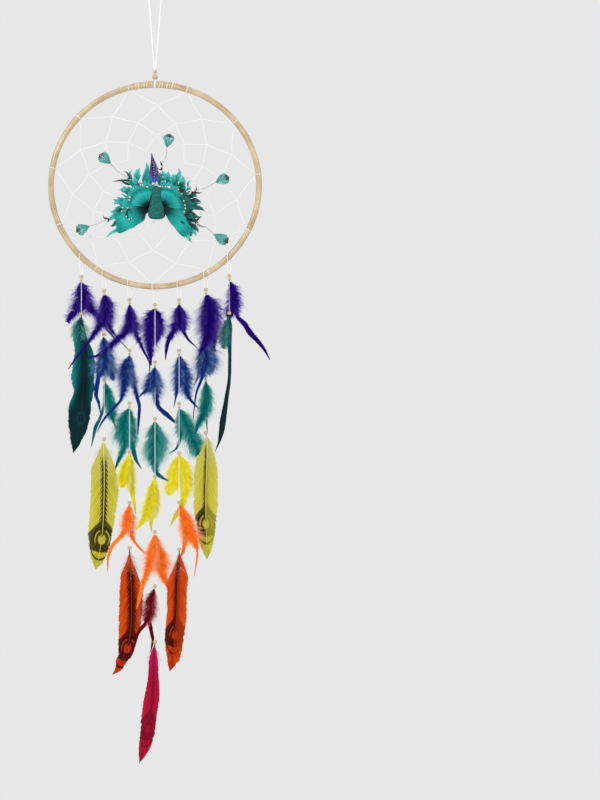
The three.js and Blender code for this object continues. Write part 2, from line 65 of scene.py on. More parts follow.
# Each strand hangs at x from the cane; its other heights are distances down from the cane's middle.
# A bundle is its beads and its feathers, each a row of [sideways, down, half width] along a shaft.
# joint says that the strand's lower body starts here, behind that the feathers hang behind the
# thread, and front how far their barbs rise forward all the same.
# A tail's outline rows are [down, left edge, shaft, right edge]. eye is where its printed eye is,
# faint the side (-1 left, 1 right) whose print is faint, turn how far it faces sideways in degrees,
# and tuft the down beside its foot, in rows like a bundle's feather.
STRANDS = [
    {"x": -110, "bundles": [
        {"colour": "purple", "beads": [29.5, 35], "behind": True, "front": 0.9, "feathers": [
            [[-1, 38, 6], [-1, 48, 10], [-1, 60, 12], [-3, 71, 11], [-9, 80, 6.5], [-16, 89, 5.5],
             [-21, 97, 2]],
            [[0, 38, 6], [2, 48, 10], [4, 60, 12], [7, 70, 11], [14, 79, 6.5], [23, 87, 5.5], [28, 96, 2]],
        ]},
    ], "tail": {
        "colour": "dark_green", "bead": 85, "eye": 0.75,
        "tuft": [[-1, 90, 3], [-4, 98, 9], [-5, 106, 12], [-5, 116, 10], [-4, 126, 3]],
        "outline": [
            [91, -1, 0, 1], [98, -6, 0.5, 3], [108, -12, 1.5, 5], [124, -13, 3, 9], [141, -11, 4, 17],
            [158, -15, 4, 20], [180, -17, 4, 20], [205, -13, 2, 17], [222, -20, 0.5, 15],
            [245, -21, -1.5, 12], [266, -20, -5, 4], [282, -16, -8.5, -4], [293, -12, -12, -12],
        ],
    }},
    {"x": -76, "bundles": [
        {"colour": "purple", "beads": [25.5, 31], "feathers": [
            [[0, 32, 7], [2, 45, 11], [1, 60, 11], [-4, 74, 7.5], [-21, 100, 2.6], [-39, 123, 1.9],
             [-53, 143, 0.5]],
            [[0, 32, 7], [5, 48, 11], [5, 62, 10], [4, 71, 6], [14, 89, 1.6], [35, 113, 0.4]],
            [[0, 32, 5], [3, 50, 9], [3, 66, 8], [2, 78, 4.5], [11, 91, 3.5], [21, 104, 1]],
        ]},
        {"colour": "blue", "beads": [91], "feathers": [
            [[-1, 95, 4], [0, 112, 10], [0, 128, 13], [-3, 142, 11], [-7, 152, 4.5], [-11, 176, 3.8],
             [-8, 192, 2.5], [-4, 212, 0.4]],
            [[-1, 95, 4], [3, 112, 9], [5, 128, 12], [7, 142, 11], [12, 152, 5], [13, 160, 1]],
        ]},
        {"colour": "teal", "beads": [159.5], "joint": True, "behind": True, "feathers": [
            [[0, 162, 3], [5, 176, 7.5], [8, 192, 10], [10, 206, 8], [14, 222, 1.2], [18, 232, 0.4]],
            [[0, 162, 2], [1, 186, 3], [-2, 202, 2.5], [-6, 214, 2.2], [-13, 230, 3], [-20, 259, 0.4]],
        ]},
    ], "tail": {
        "colour": "lime", "bead": 247, "eye": 0.757,
        "outline": [
            [252, -1.5, -1, 0], [262, -6, -0.7, 4], [278, -15, -0.4, 12], [292, -20, 0, 17],
            [318, -21.5, 0, 22], [345, -22.5, -0.7, 19], [372, -24, -1.8, 15], [390, -26, -3, 11],
            [408, -25, -5.5, 7], [424, -22, -8, 2], [434, -18, -10.5, -5], [442, -13, -13, -13],
        ],
    }},
    {"x": -38, "bundles": [
        {"colour": "purple", "beads": [24, 29.5], "feathers": [
            [[0, 32, 4], [0, 46, 7], [-1, 60, 9], [-5, 73, 7], [-17, 83, 5.5], [-32, 98, 4.4],
             [-46, 107, 2.4], [-62, 111, 0.4]],
            [[0, 32, 4], [2, 46, 8], [4, 60, 11], [8, 72, 5], [19, 97, 2], [29, 118, 1.3], [29, 136, 0.4]],
        ]},
        {"colour": "blue", "beads": [100, 105.5], "feathers": [
            [[0, 108, 4], [-5, 122, 11], [-7, 136, 13], [-7, 150, 8], [-12, 172, 2.6], [-23, 186, 2.2],
             [-39, 205, 1.8], [-48, 222, 0.4]],
            [[0, 108, 4], [1, 124, 6], [2, 138, 8], [6, 151, 5], [10.5, 168, 3.2], [14, 184, 2.8],
             [13, 208, 2], [12, 227, 0.4]],
        ]},
        {"colour": "teal", "beads": [179, 184.5], "joint": True, "behind": True, "feathers": [
            [[-1, 187, 5], [-7, 200, 14], [-9, 214, 17], [-9, 228, 13], [-8, 242, 6], [-16, 263, 3.2],
             [-24, 282, 0.5]],
            [[0, 187, 4], [1, 200, 9], [2, 216, 10], [3, 230, 8], [4, 242, 4.5], [9, 262, 3],
             [17, 277, 0.5]],
        ]},
        {"colour": "yellow", "beads": [252], "feathers": [
            [[0, 255, 4], [-3, 266, 9], [-6, 278, 13], [-8, 290, 11], [-9, 298, 6], [-11, 304, 1.5]],
            [[0, 255, 3], [1, 270, 8], [1, 286, 8], [2, 300, 6], [4, 314, 4], [7, 330, 2.5], [9, 346, 0.5]],
        ]},
        {"colour": "orange", "beads": [328], "feathers": [
            [[0, 331, 4], [-2, 344, 9], [-3, 356, 9], [-6, 368, 5], [-13, 378, 3.4], [-24, 391, 3],
             [-31, 408, 2.4], [-32, 430, 0.4]],
            [[0, 331, 3], [0, 346, 8], [0, 358, 8], [1, 370, 5], [6, 384, 2.2], [16, 397, 1.6],
             [26, 406, 0.4]],
        ]},
    ], "tail": {
        "colour": "rust", "bead": 395, "eye": 0.755,
        "outline": [
            [404, -1, 0, 1], [416, -5, 0.7, 4], [432, -13, 1.5, 11], [450, -15, 2.4, 18],
            [475, -16.5, 3.2, 20.5], [498, -18, 3, 18.5], [518, -19, 1.5, 14], [540, -20, -2, 8.5],
            [556, -20.5, -8, 1], [568, -21.5, -13, -6], [578, -23, -19, -15], [585, -26, -26, -26],
        ],
    }},
    {"x": 0, "bundles": [
        {"colour": "purple", "beads": [27, 32.5], "behind": True, "feathers": [
            [[-2, 34, 6], [-7, 45, 12], [-8, 60, 13], [-8, 76, 10.5], [-8, 92, 6.5], [-7, 105, 3],
             [-6, 118, 0.6]],
            [[0, 34, 6], [4, 46, 9], [6, 60, 10], [5, 72, 5], [1, 84, 1.5]],
        ]},
        {"colour": "blue", "beads": [113, 118.5], "feathers": [
            [[0, 121, 4], [-3, 132, 10], [-5, 145, 12], [-9, 153, 6], [-17, 159, 2], [-25, 167, 0.5]],
            [[0, 121, 4], [1, 134, 9], [2, 148, 11], [1, 160, 6], [4, 176, 3.6], [16, 190, 4],
             [31, 204, 1.5]],
        ]},
        {"colour": "teal", "beads": [198], "behind": True, "feathers": [
            [[0, 202, 5], [-1, 213, 14], [0, 224, 18], [-1, 236, 16], [-2, 250, 11.5], [-1, 264, 6.5],
             [1, 274, 4], [8, 283, 3.2], [20, 291, 0.5]],
            [[0, 202, 4], [2, 216, 14], [4, 228, 17], [2, 242, 13], [0, 258, 6], [0, 268, 2]],
        ]},
        {"colour": "yellow", "beads": [284.5], "joint": True, "feathers": [
            [[-1, 288, 5], [-3, 300, 9], [-5, 315, 11], [-8, 330, 11], [-13, 343, 6], [-21, 354, 3.5],
             [-29, 364, 0.5]],
            [[0, 288, 4], [0, 302, 7], [0, 318, 9], [-2, 334, 8], [-5, 346, 4], [-6, 357, 2.2],
             [-5, 368, 0.5]],
        ]},
        {"colour": "orange", "beads": [367], "feathers": [
            [[-1, 371, 4], [-2, 386, 8], [-5, 400, 10], [-7, 414, 9], [-11, 426, 5.5], [-17, 443, 3.8],
             [-23, 466, 3], [-27, 482, 0.5]],
            [[0, 371, 4], [3, 386, 8], [7, 400, 12], [9, 414, 13], [10, 426, 8], [15, 440, 4.5],
             [22, 456, 0.8]],
        ]},
        {"colour": "crimson", "beads": [448], "feathers": [
            [[-1, 452, 4], [-5, 464, 8], [-8, 476, 9.5], [-9, 488, 9], [-12, 499, 4.9], [-19, 509, 3.2],
             [-25, 519, 2.6], [-31, 537, 1.8], [-37, 551, 0.4]],
            [[-1, 452, 3], [-4, 470, 6], [-6, 486, 6.5], [-8, 498, 4], [-6, 514, 3], [-4, 526, 2.6],
             [-5, 537, 1.8], [-7, 547, 0.4]],
        ]},
    ], "tail": {
        "colour": "pink", "bead": 531, "eye": 0.7,
        "outline": [
            [538, -2, -0.5, 0.5], [548, -6.5, -1.5, 3], [562, -9.5, -2, 5], [585, -11, -2.4, 5.5],
            [600, -14, -3, 6.5], [620, -18.5, -4.8, 6], [640, -21, -7.5, 2.5], [658, -22, -10, 1],
            [676, -24, -13.5, -3], [690, -25.3, -17, -8], [702, -24.8, -20, -15],
            [712, -23.5, -23.5, -23.5],
        ],
    }},
    {"x": 36, "bundles": [
        {"colour": "purple", "beads": [24, 29.5], "feathers": [
            [[0, 32, 6], [-1, 46, 11], [0, 58, 11], [-6, 68, 6], [-14, 82, 4.5], [-18, 96, 3.2],
             [-20, 114, 0.5]],
            [[0, 32, 6], [3, 46, 10], [4, 58, 9], [6, 68, 4], [13, 82, 2], [27, 96, 0.4]],
        ]},
        {"colour": "blue", "beads": [100, 105.5], "behind": True, "feathers": [
            [[0, 108, 4], [-1, 124, 8], [-1, 140, 9], [-3, 156, 5], [-5, 168, 1.6], [-8, 184, 0.4]],
            [[1, 108, 4], [6, 124, 9], [10, 140, 12], [10, 154, 8], [15, 170, 3], [29, 187, 0.6]],
        ]},
        {"colour": "teal", "beads": [179, 184.5], "joint": True, "behind": True, "feathers": [
            [[0, 187, 5], [6, 198, 11], [11, 210, 13], [17, 226, 14], [24, 240, 13], [27, 250, 7],
             [28, 256, 3]],
            [[0, 187, 4], [2, 200, 9], [3, 214, 9], [2, 228, 3], [-4, 245, 1.8], [-15, 254, 0.4]],
        ]},
        {"colour": "yellow", "beads": [253], "behind": True, "feathers": [
            [[0, 256, 4], [-4, 268, 11], [-7, 282, 14], [-9, 298, 11], [-14, 308, 6], [-16, 316, 1.5]],
            [[0, 256, 4], [5, 268, 11], [9, 284, 12.5], [10, 300, 10], [9, 314, 6], [4, 330, 4.5],
             [-6, 348, 3.4], [-14, 364, 0.5]],
        ]},
        {"colour": "orange", "beads": [327], "feathers": [
            [[1, 331, 4], [8, 346, 10], [13, 360, 12], [18, 374, 12], [24, 386, 6], [27, 396, 2],
             [27, 410, 1.6], [23, 437, 0.4]],
            [[1, 331, 3], [7, 348, 7], [11, 364, 9], [10, 378, 6], [8, 390, 3.4], [5, 402, 2.6],
             [0, 412, 0.5]],
        ]},
    ], "tail": {
        "colour": "rust", "bead": 397, "eye": 0.69, "faint": 1,
        "outline": [
            [404, -1, 0.3, 1.5], [416, -5, 0.7, 6], [428, -11, 0, 10], [440, -18, -1.5, 13],
            [460, -18, -2.8, 13], [483, -18, -3.3, 12], [503, -21, -4.5, 10], [530, -22.5, -7, 7],
            [548, -21, -8.7, 4.5], [562, -18.8, -11, -0.5], [572, -16.5, -12.6, -7],
            [579, -13.9, -13.9, -13.9],
        ],
    }},
    {"x": 76, "bundles": [
        {"colour": "purple", "beads": [24, 29.5], "feathers": [
            [[1, 32, 7], [4, 46, 15], [4, 62, 16], [3, 80, 13], [2, 96, 9], [-2, 108, 5], [-10, 122, 0.8]],
            [[1, 32, 6], [8, 46, 13], [10, 62, 15], [9, 78, 13], [11, 94, 8], [12, 106, 3], [14, 117, 0.6]],
        ]},
        {"colour": "blue", "beads": [95], "feathers": [
            [[0, 98, 4], [-2, 112, 12], [-2, 128, 14], [-4, 142, 9], [-5, 154, 3], [-14, 180, 1.6],
             [-19, 219, 0.4]],
            [[1, 98, 4], [5, 112, 12], [6, 128, 13], [6, 142, 8], [3, 150, 2]],
            [[0, 98, 3], [-6, 124, 8], [-9, 142, 6], [-12, 154, 4], [-18, 168, 0.8]],
        ]},
        {"colour": "teal", "beads": [153, 158.5], "joint": True, "feathers": [
            [[0, 161, 4], [1, 170, 8], [2, 180, 11], [1, 190, 11.5], [-1, 202, 10], [-5, 214, 7],
             [-11, 226, 4.5], [-16, 240, 1]],
            [[0, 161, 3], [0, 176, 7], [-1, 196, 8], [-1, 210, 4], [1, 222, 1.5], [2, 236, 0.4]],
        ]},
    ], "tail": {
        "colour": "lime", "bead": 238, "eye": 0.71, "faint": 1,
        "outline": [
            [244, 0.5, 1.5, 2.5], [254, -4, 2.1, 6], [265, -8.5, 2, 10.5], [278, -16, 1.7, 15],
            [298, -18, 0.8, 18], [325, -18.6, 0, 19], [350, -18.5, -0.3, 18], [366, -16, 0, 16.8],
            [382, -13, 0.3, 15], [402, -10.5, 1.2, 12], [416, -5, 1.6, 7.5], [427, 1.9, 1.9, 1.9],
        ],
    }},
    {"x": 111, "bundles": [
        {"colour": "purple", "beads": [29.5, 35], "behind": True, "front": 0.9, "feathers": [
            [[1, 38, 5], [5, 48, 7.5], [6, 60, 8.5], [5, 74, 9.5], [2, 84, 7], [-2, 92, 2]],
            [[1, 38, 3], [6, 52, 8], [8, 66, 9], [10, 80, 5], [12, 88, 2.6], [20, 98, 4.2], [30, 112, 4.6],
             [42, 126, 3.6], [52, 139, 2.4], [61, 155, 0.4]],
        ]},
    ], "tail": {
        "colour": "dark_green", "bead": 85, "eye": 0.75, "turn": 60,
        "tuft": [[-1, 90, 3], [-4, 102, 7], [-7, 116, 10], [-8, 128, 8], [-7, 138, 2]],
        "outline": [
            [90, 0, 0.6, 1.2], [104, -3, 1.5, 4.6], [125, -2.4, 1.2, 4.6], [150, -1.2, 1.2, 3.8],
            [181, -1.9, 0.3, 2.6], [207, -6, -2.8, 0.3], [233, -10.3, -6.4, -2],
            [250, -13.4, -9.2, -4.2], [262, -15, -11.6, -7.2], [276, -17, -15, -12.8],
            [294, -21.8, -21.8, -21.8],
        ],
    }},
]

# ---- cord routes, in metres ----
LOOP_ROUTE = [
    (0.0012, 0, -0.1122), (0.0023, 0, -0.098), (0.0036, 0, -0.082), (0.0049, 0, -0.066),
    (0.0061, 0, -0.05), (0.0073, 0, -0.034), (0.0084, 0, -0.021), (0.0091, 0, -0.012),
    (0.0086, 0, -0.0069), (0.0065, 0, -0.0036), (0.0035, 0, -0.0016), (0, 0, -0.001),
    (-0.0035, 0, -0.0016), (-0.0065, 0, -0.0036), (-0.0086, 0, -0.0069), (-0.0091, 0, -0.012),
    (-0.0084, 0, -0.021), (-0.0073, 0, -0.034), (-0.0061, 0, -0.05), (-0.0049, 0, -0.066),
    (-0.0036, 0, -0.082), (-0.0023, 0, -0.098), (-0.0012, 0, -0.1122),
]
# A strand's thread over the cane, from the cane's middle: up in front, over and down behind.
# Its two legs are LEG_GAP apart in the first bead, and one thread from LEGS_MEET below there.
OVER_CANE = [
    (-0.0022, -0.0018, -0.0165), (-0.0025, -0.0036, -0.0105), (-0.0027, -0.0056, -0.004),
    (-0.0026, -0.006, 0.0015), (-0.0018, -0.0041, 0.0049), (0, 0, 0.0064), (0.0018, 0.0041, 0.0049),
    (0.0026, 0.006, 0.0015), (0.0027, 0.0056, -0.004), (0.0025, 0.0036, -0.0105),
    (0.0022, 0.0018, -0.0165),
]
LEG_GAP = 0.0011
LEGS_MEET = 0.012


def rim_z(x):
    """Height of the cane's middle at x."""
    return HOOP_Z - RIM_B * math.sqrt(1 - (x / RIM_A) ** 2)


def rim_point(angle, share=1.0):
    """A point at an angle round the hoop, at a share of the way out from its middle."""
    return np.array([RIM_A * share * math.cos(angle), 0, HOOP_Z + RIM_B * share * math.sin(angle)])


# ---- shape helpers ----
def unit(vectors):
    return vectors / np.maximum(np.linalg.norm(vectors, axis=-1, keepdims=True), 1e-12)


def stacked(*parts):
    """Arrays of like or lesser shape as the columns of one."""
    return np.stack(np.broadcast_arrays(*parts), axis=-1)


def smooth(points, count):
    """Points spaced evenly along a Catmull-Rom curve through the given ones."""
    p = np.asarray(points, float)
    p = np.vstack([2 * p[0] - p[1], p, 2 * p[-1] - p[-2]])
    u = np.linspace(0, len(points) - 1, 8 * len(points) + count)
    i = np.minimum(u.astype(int), len(points) - 2)
    f = (u - i)[:, None]
    a, b, c, d = p[i], p[i + 1], p[i + 2], p[i + 3]
    cubic = (3 * b - a - 3 * c + d) * f**3
    curve = (2 * b + (c - a) * f + (2 * a - 5 * b + 4 * c - d) * f**2 + cubic) / 2
    return evenly(curve, count)


def evenly(path, count):
    """Points spaced evenly along a path."""
    run = arc_length(path)
    at = np.linspace(0, run[-1], count)
    return np.stack([np.interp(at, run, path[:, k]) for k in range(3)], axis=1)


def arc_length(path):
    """Length along a path at each of its points."""
    steps = np.linalg.norm(np.diff(path, axis=0), axis=1)
    return np.concatenate([[0], np.cumsum(steps)])


def frames(path):
    """Two directions across a path at each of its points, turning as little as they can."""
    tangents = unit(np.gradient(path, axis=0))
    start = np.array([1.0, 0, 0]) if abs(tangents[0][0]) < 0.8 else np.array([0, 1.0, 0])
    normals = []
    for tangent in tangents:
        start = unit(start - tangent * np.dot(start, tangent))
        normals.append(start)
    normals = np.array(normals)
    return normals, np.cross(tangents, normals)


class Piece:
    """Faces gathered for one object. Each point has a flow: three numbers its material reads."""

    def __init__(self, name, body, slot, *replaced):
        self.name, self.body, self.slot, self.replaced = name, body, slot, replaced
        self.points, self.flows, self.faces, self.material_of = [], [], [], []
        self.count = 0

    def add(self, points, flows, faces, material=0):
        points = np.asarray(points, float).reshape(-1, 3)
        self.points.append(points * MM)
        self.flows.append(np.broadcast_to(flows, points.shape))
        self.faces += (np.asarray(faces) + self.count).tolist()
        self.material_of += [material] * len(faces)
        self.count += len(points)

    def sheet(self, rows, flows, material=0, closed=False, looped=False):
        """Joins neighbouring rows. closed joins each row's ends, looped the last row to the first."""
        n, m = rows.shape[:2]
        index = np.arange(n * m).reshape(n, m)
        if closed:
            index = np.concatenate([index, index[:, :1]], axis=1)
        if looped:
            index = np.concatenate([index, index[:1]])
        corners = [index[:-1, :-1], index[:-1, 1:], index[1:, 1:], index[1:, :-1]]
        self.add(rows, flows.reshape(-1, 3), np.stack(corners, -1).reshape(-1, 4), material)

    def ribbons(self, lines, across, flows, material=0):
        """One strip of quads on each line; across is half of each strip's width as a vector."""
        n, m = lines.shape[:2]
        points = np.stack([lines - across, lines + across], axis=2)
        index = np.arange(n * m * 2).reshape(n, m, 2)
        corners = [index[:, :-1, 0], index[:, :-1, 1], index[:, 1:, 1], index[:, 1:, 0]]
        flows = np.repeat(flows[:, :, None], 2, axis=2).reshape(-1, 3)
        self.add(points, flows, np.stack(corners, -1).reshape(-1, 4), material)

    def tube(self, path, radius, sides=8, material=0, flow=None):
        """A closed tube. Its flow is the length along it and the place on its round section."""
        path = np.asarray(path, float)
        radius = np.broadcast_to(radius, len(path))[:, None, None]
        normals, binormals = frames(path)
        turn = np.linspace(0, TURN, sides, endpoint=False)
        cos, sin = np.cos(turn)[None, :, None], np.sin(turn)[None, :, None]
        ring = (normals[:, None] * cos + binormals[:, None] * sin) * radius
        rows = path[:, None] + ring
        if flow is None:
            run = np.broadcast_to(arc_length(path)[:, None, None], (len(path), sides, 1))
            flow = np.concatenate([run, cos * radius, sin * radius], axis=2)
        else:
            flow = np.broadcast_to(np.asarray(flow, float)[:, None], rows.shape)
        first = self.count
        self.sheet(rows, flow, material, closed=True)
        self.cap(first, len(path), sides, material)

    def cap(self, first, rows, sides, material=0):
        """Closes both ends of a closed sheet whose points start at first."""
        last = first + sides * (rows - 1)
        self.faces += [list(range(first + sides - 1, first - 1, -1)), list(range(last, last + sides))]
        self.material_of += [material] * 2

    def turned(self, centre, profile, sides=20, material=0, axis=None):
        """A solid of revolution about Z, or about axis, from a closed ring of [radius, height]."""
        profile = np.asarray(profile, float)
        turn = np.linspace(0, TURN, sides, endpoint=False)
        radius, height = profile.T
        local = stacked(radius * np.cos(turn)[:, None], radius * np.sin(turn)[:, None], height)
        flow = local.copy()
        if axis is not None:
            local = local @ np.array(Vector(axis).to_track_quat("Z", "Y").to_matrix()).T
        self.sheet(local + np.asarray(centre), flow, material, closed=True, looped=True)

    def finish(self, *materials, smooth_shading=True):
        """The piece as an object on its body and the CAD nodes it replaces."""
        mesh = bpy.data.meshes.new(self.name)
        mesh.from_pydata(np.concatenate(self.points).tolist(), [], self.faces)
        flow = mesh.attributes.new("flow", "FLOAT_VECTOR", "POINT")
        flow.data.foreach_set("vector", np.concatenate(self.flows).astype(np.float32).ravel())
        for material in materials:
            mesh.materials.append(material)
        mesh.polygons.foreach_set("material_index", self.material_of)
        mesh.polygons.foreach_set("use_smooth", [smooth_shading] * len(mesh.polygons))
        mesh.update()
        made = bpy.data.objects.new(self.name, mesh)
        bpy.context.scene.collection.objects.link(made)
        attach(made, self.body)
        if self.replaced:
            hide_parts(*self.replaced)
        return made


# ---- materials ----
def linear(colour):
    """A colour of display values from 0 to 255, as the linear colour a shader takes."""
    shares = [c / 255 for c in colour]
    return [*(s / 12.92 if s <= 0.04045 else ((s + 0.055) / 1.055) ** 2.4 for s in shares), 1]


class Shader:
    """A Principled material, with a short call for each kind of node that feeds it. A value is
    another node's output or a constant, and a colour is a tuple of display values."""

    def __init__(self, name, roughness, **plain):
        self.material = bpy.data.materials.new(name)
        self.material.use_nodes = True
        self.tree = self.material.node_tree
        self.main = self.tree.nodes["Principled BSDF"]
        self.main.inputs["Roughness"].default_value = roughness
        for socket, value in plain.items():
            self.main.inputs[socket.replace("_", " ")].default_value = value

    def node(self, kind, *inputs, **settings):
        made = self.tree.nodes.new(kind)
        for name, value in settings.items():
            setattr(made, name, value)
        for socket, value in zip(made.inputs, inputs):
            self.feed(socket, value)
        return made

    def feed(self, socket, value):
        if isinstance(value, bpy.types.NodeSocket):
            self.tree.links.new(value, socket)
        elif value is not None:
            socket.default_value = linear(value) if isinstance(value, tuple) else value

    def flow(self):
        """The three numbers of each point's flow."""
        vector = self.node("ShaderNodeAttribute", attribute_name="flow").outputs["Vector"]
        return self.node("ShaderNodeSeparateXYZ", vector).outputs

    def math(self, operation, a, b=None, c=None, clamp=False):
        made = self.node("ShaderNodeMath", a, b, c, operation=operation, use_clamp=clamp)
        return made.outputs[0]

    def times(self, first, *others):
        for value in others:
            first = self.math("MULTIPLY", first, value)
        return first

    def most(self, first, *others):
        """The greatest of the values."""
        for value in others:
            first = self.math("MAXIMUM", first, value)
        return first

    def size(self, value):
        """The value without its sign."""
        return self.math("ABSOLUTE", value)

    def weigh(self, *pairs):
        """The sum of value times weight over the pairs."""
        total = 0.0
        for value, weight in pairs:
            total = self.math("MULTIPLY_ADD", value, weight, total)
        return total

    def step(self, value, start, end):
        """0 below start and 1 above end, smooth in between."""
        made = self.node("ShaderNodeMapRange", value, start, end, interpolation_type="SMOOTHSTEP")
        return made.outputs[0]

    def fall(self, value, start, end):
        """1 below start and 0 above end."""
        return self.math("SUBTRACT", 1.0, self.step(value, start, end))

    def combine(self, x, y, z):
        return self.node("ShaderNodeCombineXYZ", x, y, z).outputs[0]

    def place(self):
        return self.node("ShaderNodeTexCoord").outputs["Object"]

    def noise(self, vector, scale, detail=2.0):
        made = self.node("ShaderNodeTexNoise")
        self.feed(made.inputs["Vector"], vector)
        self.feed(made.inputs["Scale"], scale)
        self.feed(made.inputs["Detail"], detail)
        return made.outputs[0]

    def ramp(self, value, *stops):
        """A colour ramp from (position, colour) stops."""
        made = self.node("ShaderNodeValToRGB", value)
        elements = made.color_ramp.elements
        while len(elements) < len(stops):
            elements.new(0.5)
        for element, (position, colour) in zip(elements, stops):
            element.position = position
            element.color = linear(colour)
        return made.outputs[0]

    def mix(self, share, a, b):
        made = self.node("ShaderNodeMix", data_type="RGBA")
        for index, value in ((0, share), (6, a), (7, b)):
            self.feed(made.inputs[index], value)
        return made.outputs[2]

    def colour(self, value):
        self.feed(self.main.inputs["Base Color"], value)

    def paint(self, value, *stops):
        """The base colour as a ramp."""
        self.colour(self.ramp(value, *stops))

    def rough(self, value):
        self.feed(self.main.inputs["Roughness"], value)

    def bump(self, height, distance, strength=1.0):
        made = self.node("ShaderNodeBump")
        self.feed(made.inputs["Height"], height)
        made.inputs["Strength"].default_value = strength
        made.inputs["Distance"].default_value = distance
        self.feed(self.main.inputs["Normal"], made.outputs[0])


def cane_material(name, grain, dark, main, light):
    """Rattan: fibres run along it, with dark pores and slow changes of tint."""
    s = Shader(name, 0.42, Coat_Weight=0.15, Coat_Roughness=0.3)
    along, x, y = s.flow()
    run = s.times(along, 0.02)
    fibre = s.noise(s.combine(run, x, y), grain, 4.0)
    patch = s.noise(s.combine(run, 0.0, 0.0), 1.6, 3.0)
    shade = s.weigh((fibre, 0.75), (patch, 0.6))
    s.paint(shade, (0.5, dark), (0.66, main), (0.85, light))
    s.rough(s.step(fibre, 0.2, 1.1))
    s.bump(fibre, 0.00025, 0.5)
    return s.material


def bead_material():
    """Turned wood: bent growth rings across the bead and a grain along it."""
    s = Shader("bead_wood", 0.45, Coat_Weight=0.2, Coat_Roughness=0.35)
    x, y, z = s.flow()
    bend = s.noise(s.place(), 90.0)
    rings = s.math("FRACT", s.weigh((x, 0.9), (y, 0.35), (bend, 3.0)))
    grain = s.noise(s.combine(x, y, s.times(z, 0.15)), 3.0, 4.0)
    shade = s.weigh((rings, 0.4), (grain, 0.8))
    s.paint(shade, (0.25, (134, 108, 68)), (0.55, (182, 160, 116)), (0.85, (212, 198, 160)))
    s.bump(grain, 0.0002, 0.4)
    return s.material


def thread_material(name, plies):
    """White cotton: faint painted shade in grey between the plies, and a bump that winds round the thread.
    """
    s = Shader(name, 0.9, Sheen_Weight=0.3, Sheen_Roughness=0.5)
    along, x, y = s.flow()
    turn = s.math("ARCTAN2", y, x)
    # painted shade: grey bands wound between the plies
    wind = s.math("SINE", s.weigh((turn, float(plies)), (along, 3.4)))
    fuzz = s.noise(s.place(), 4000.0, 3.0)
    shade = s.weigh((wind, 0.25), (fuzz, 0.7))
    # the grey stop is the painted shade between the plies
    s.paint(shade, (0.05, (222, 219, 216)), (0.35, (250, 249, 248)), (0.6, (254, 254, 253)))
    s.bump(shade, 0.00015, 0.6)
    return s.material


def felt_material():
    """Matted wool: clumps of two tints and fine hairs."""
    s = Shader("felt", 0.95, Sheen_Weight=0.03, Sheen_Roughness=0.6, Specular_IOR_Level=0.08)
    clump = s.noise(s.place(), 260.0, 4.0)
    hair = s.noise(s.place(), 2600.0, 4.0)
    shade = s.weigh((clump, 0.6), (hair, 0.5))
    s.paint(shade, (0.35, (18, 62, 57)), (0.55, (33, 97, 89)), (0.75, (48, 120, 110)))
    s.bump(shade, 0.0006, 0.8)
    return s.material


def hackle_material(name, dark, main, light, tip):
    """Dyed barbs, each with its own tint, darker by the shaft as painted shade of the dense down and paler
    towards their ends as painted light through the thin barb ends.
    """
    s = Shader(name, 0.8, Specular_IOR_Level=0.05)
    along, out, tone = s.flow()
    patch = s.noise(s.place(), 120.0, 3.0)
    # out runs from painted shade by the shaft to painted light at the barbs' ends; tone and patch are the
    # dye's own tints
    shade = s.weigh((out, 0.55), (tone, 0.26), (patch, 0.24))
    barb_tint_painted_shade_and_light = s.ramp(shade, (0.12, dark), (0.5, main), (0.95, light))
    s.colour(s.mix(s.step(along, 0.55, 0.85), barb_tint_painted_shade_and_light, s.mix(s.times(tone, 0.6), tip, main)))
    return s.material


def goose_comb(s, along, off, tone):
    """Fine strokes that slant outward like a goose feather's barbs."""
    slant = s.weigh((along, 60.0), (off, -14.0))
    return s.noise(s.combine(slant, s.times(off, 0.8), tone), 1.0, 4.0)


def eye_distance(s, along, across, centre, half_length, half_width, uneven=0.0):
    """The way down from an eye's centre and the distance from it, where the eye's edge is at 1."""
    down = s.times(s.math("SUBTRACT", along, centre), 1 / half_length)
    out = s.times(across, 1 / half_width)
    squares = s.weigh((s.times(down, down), 1.0), (s.times(out, out), 1.0), (uneven, 1.0))
    return down, s.math("SQRT", squares)


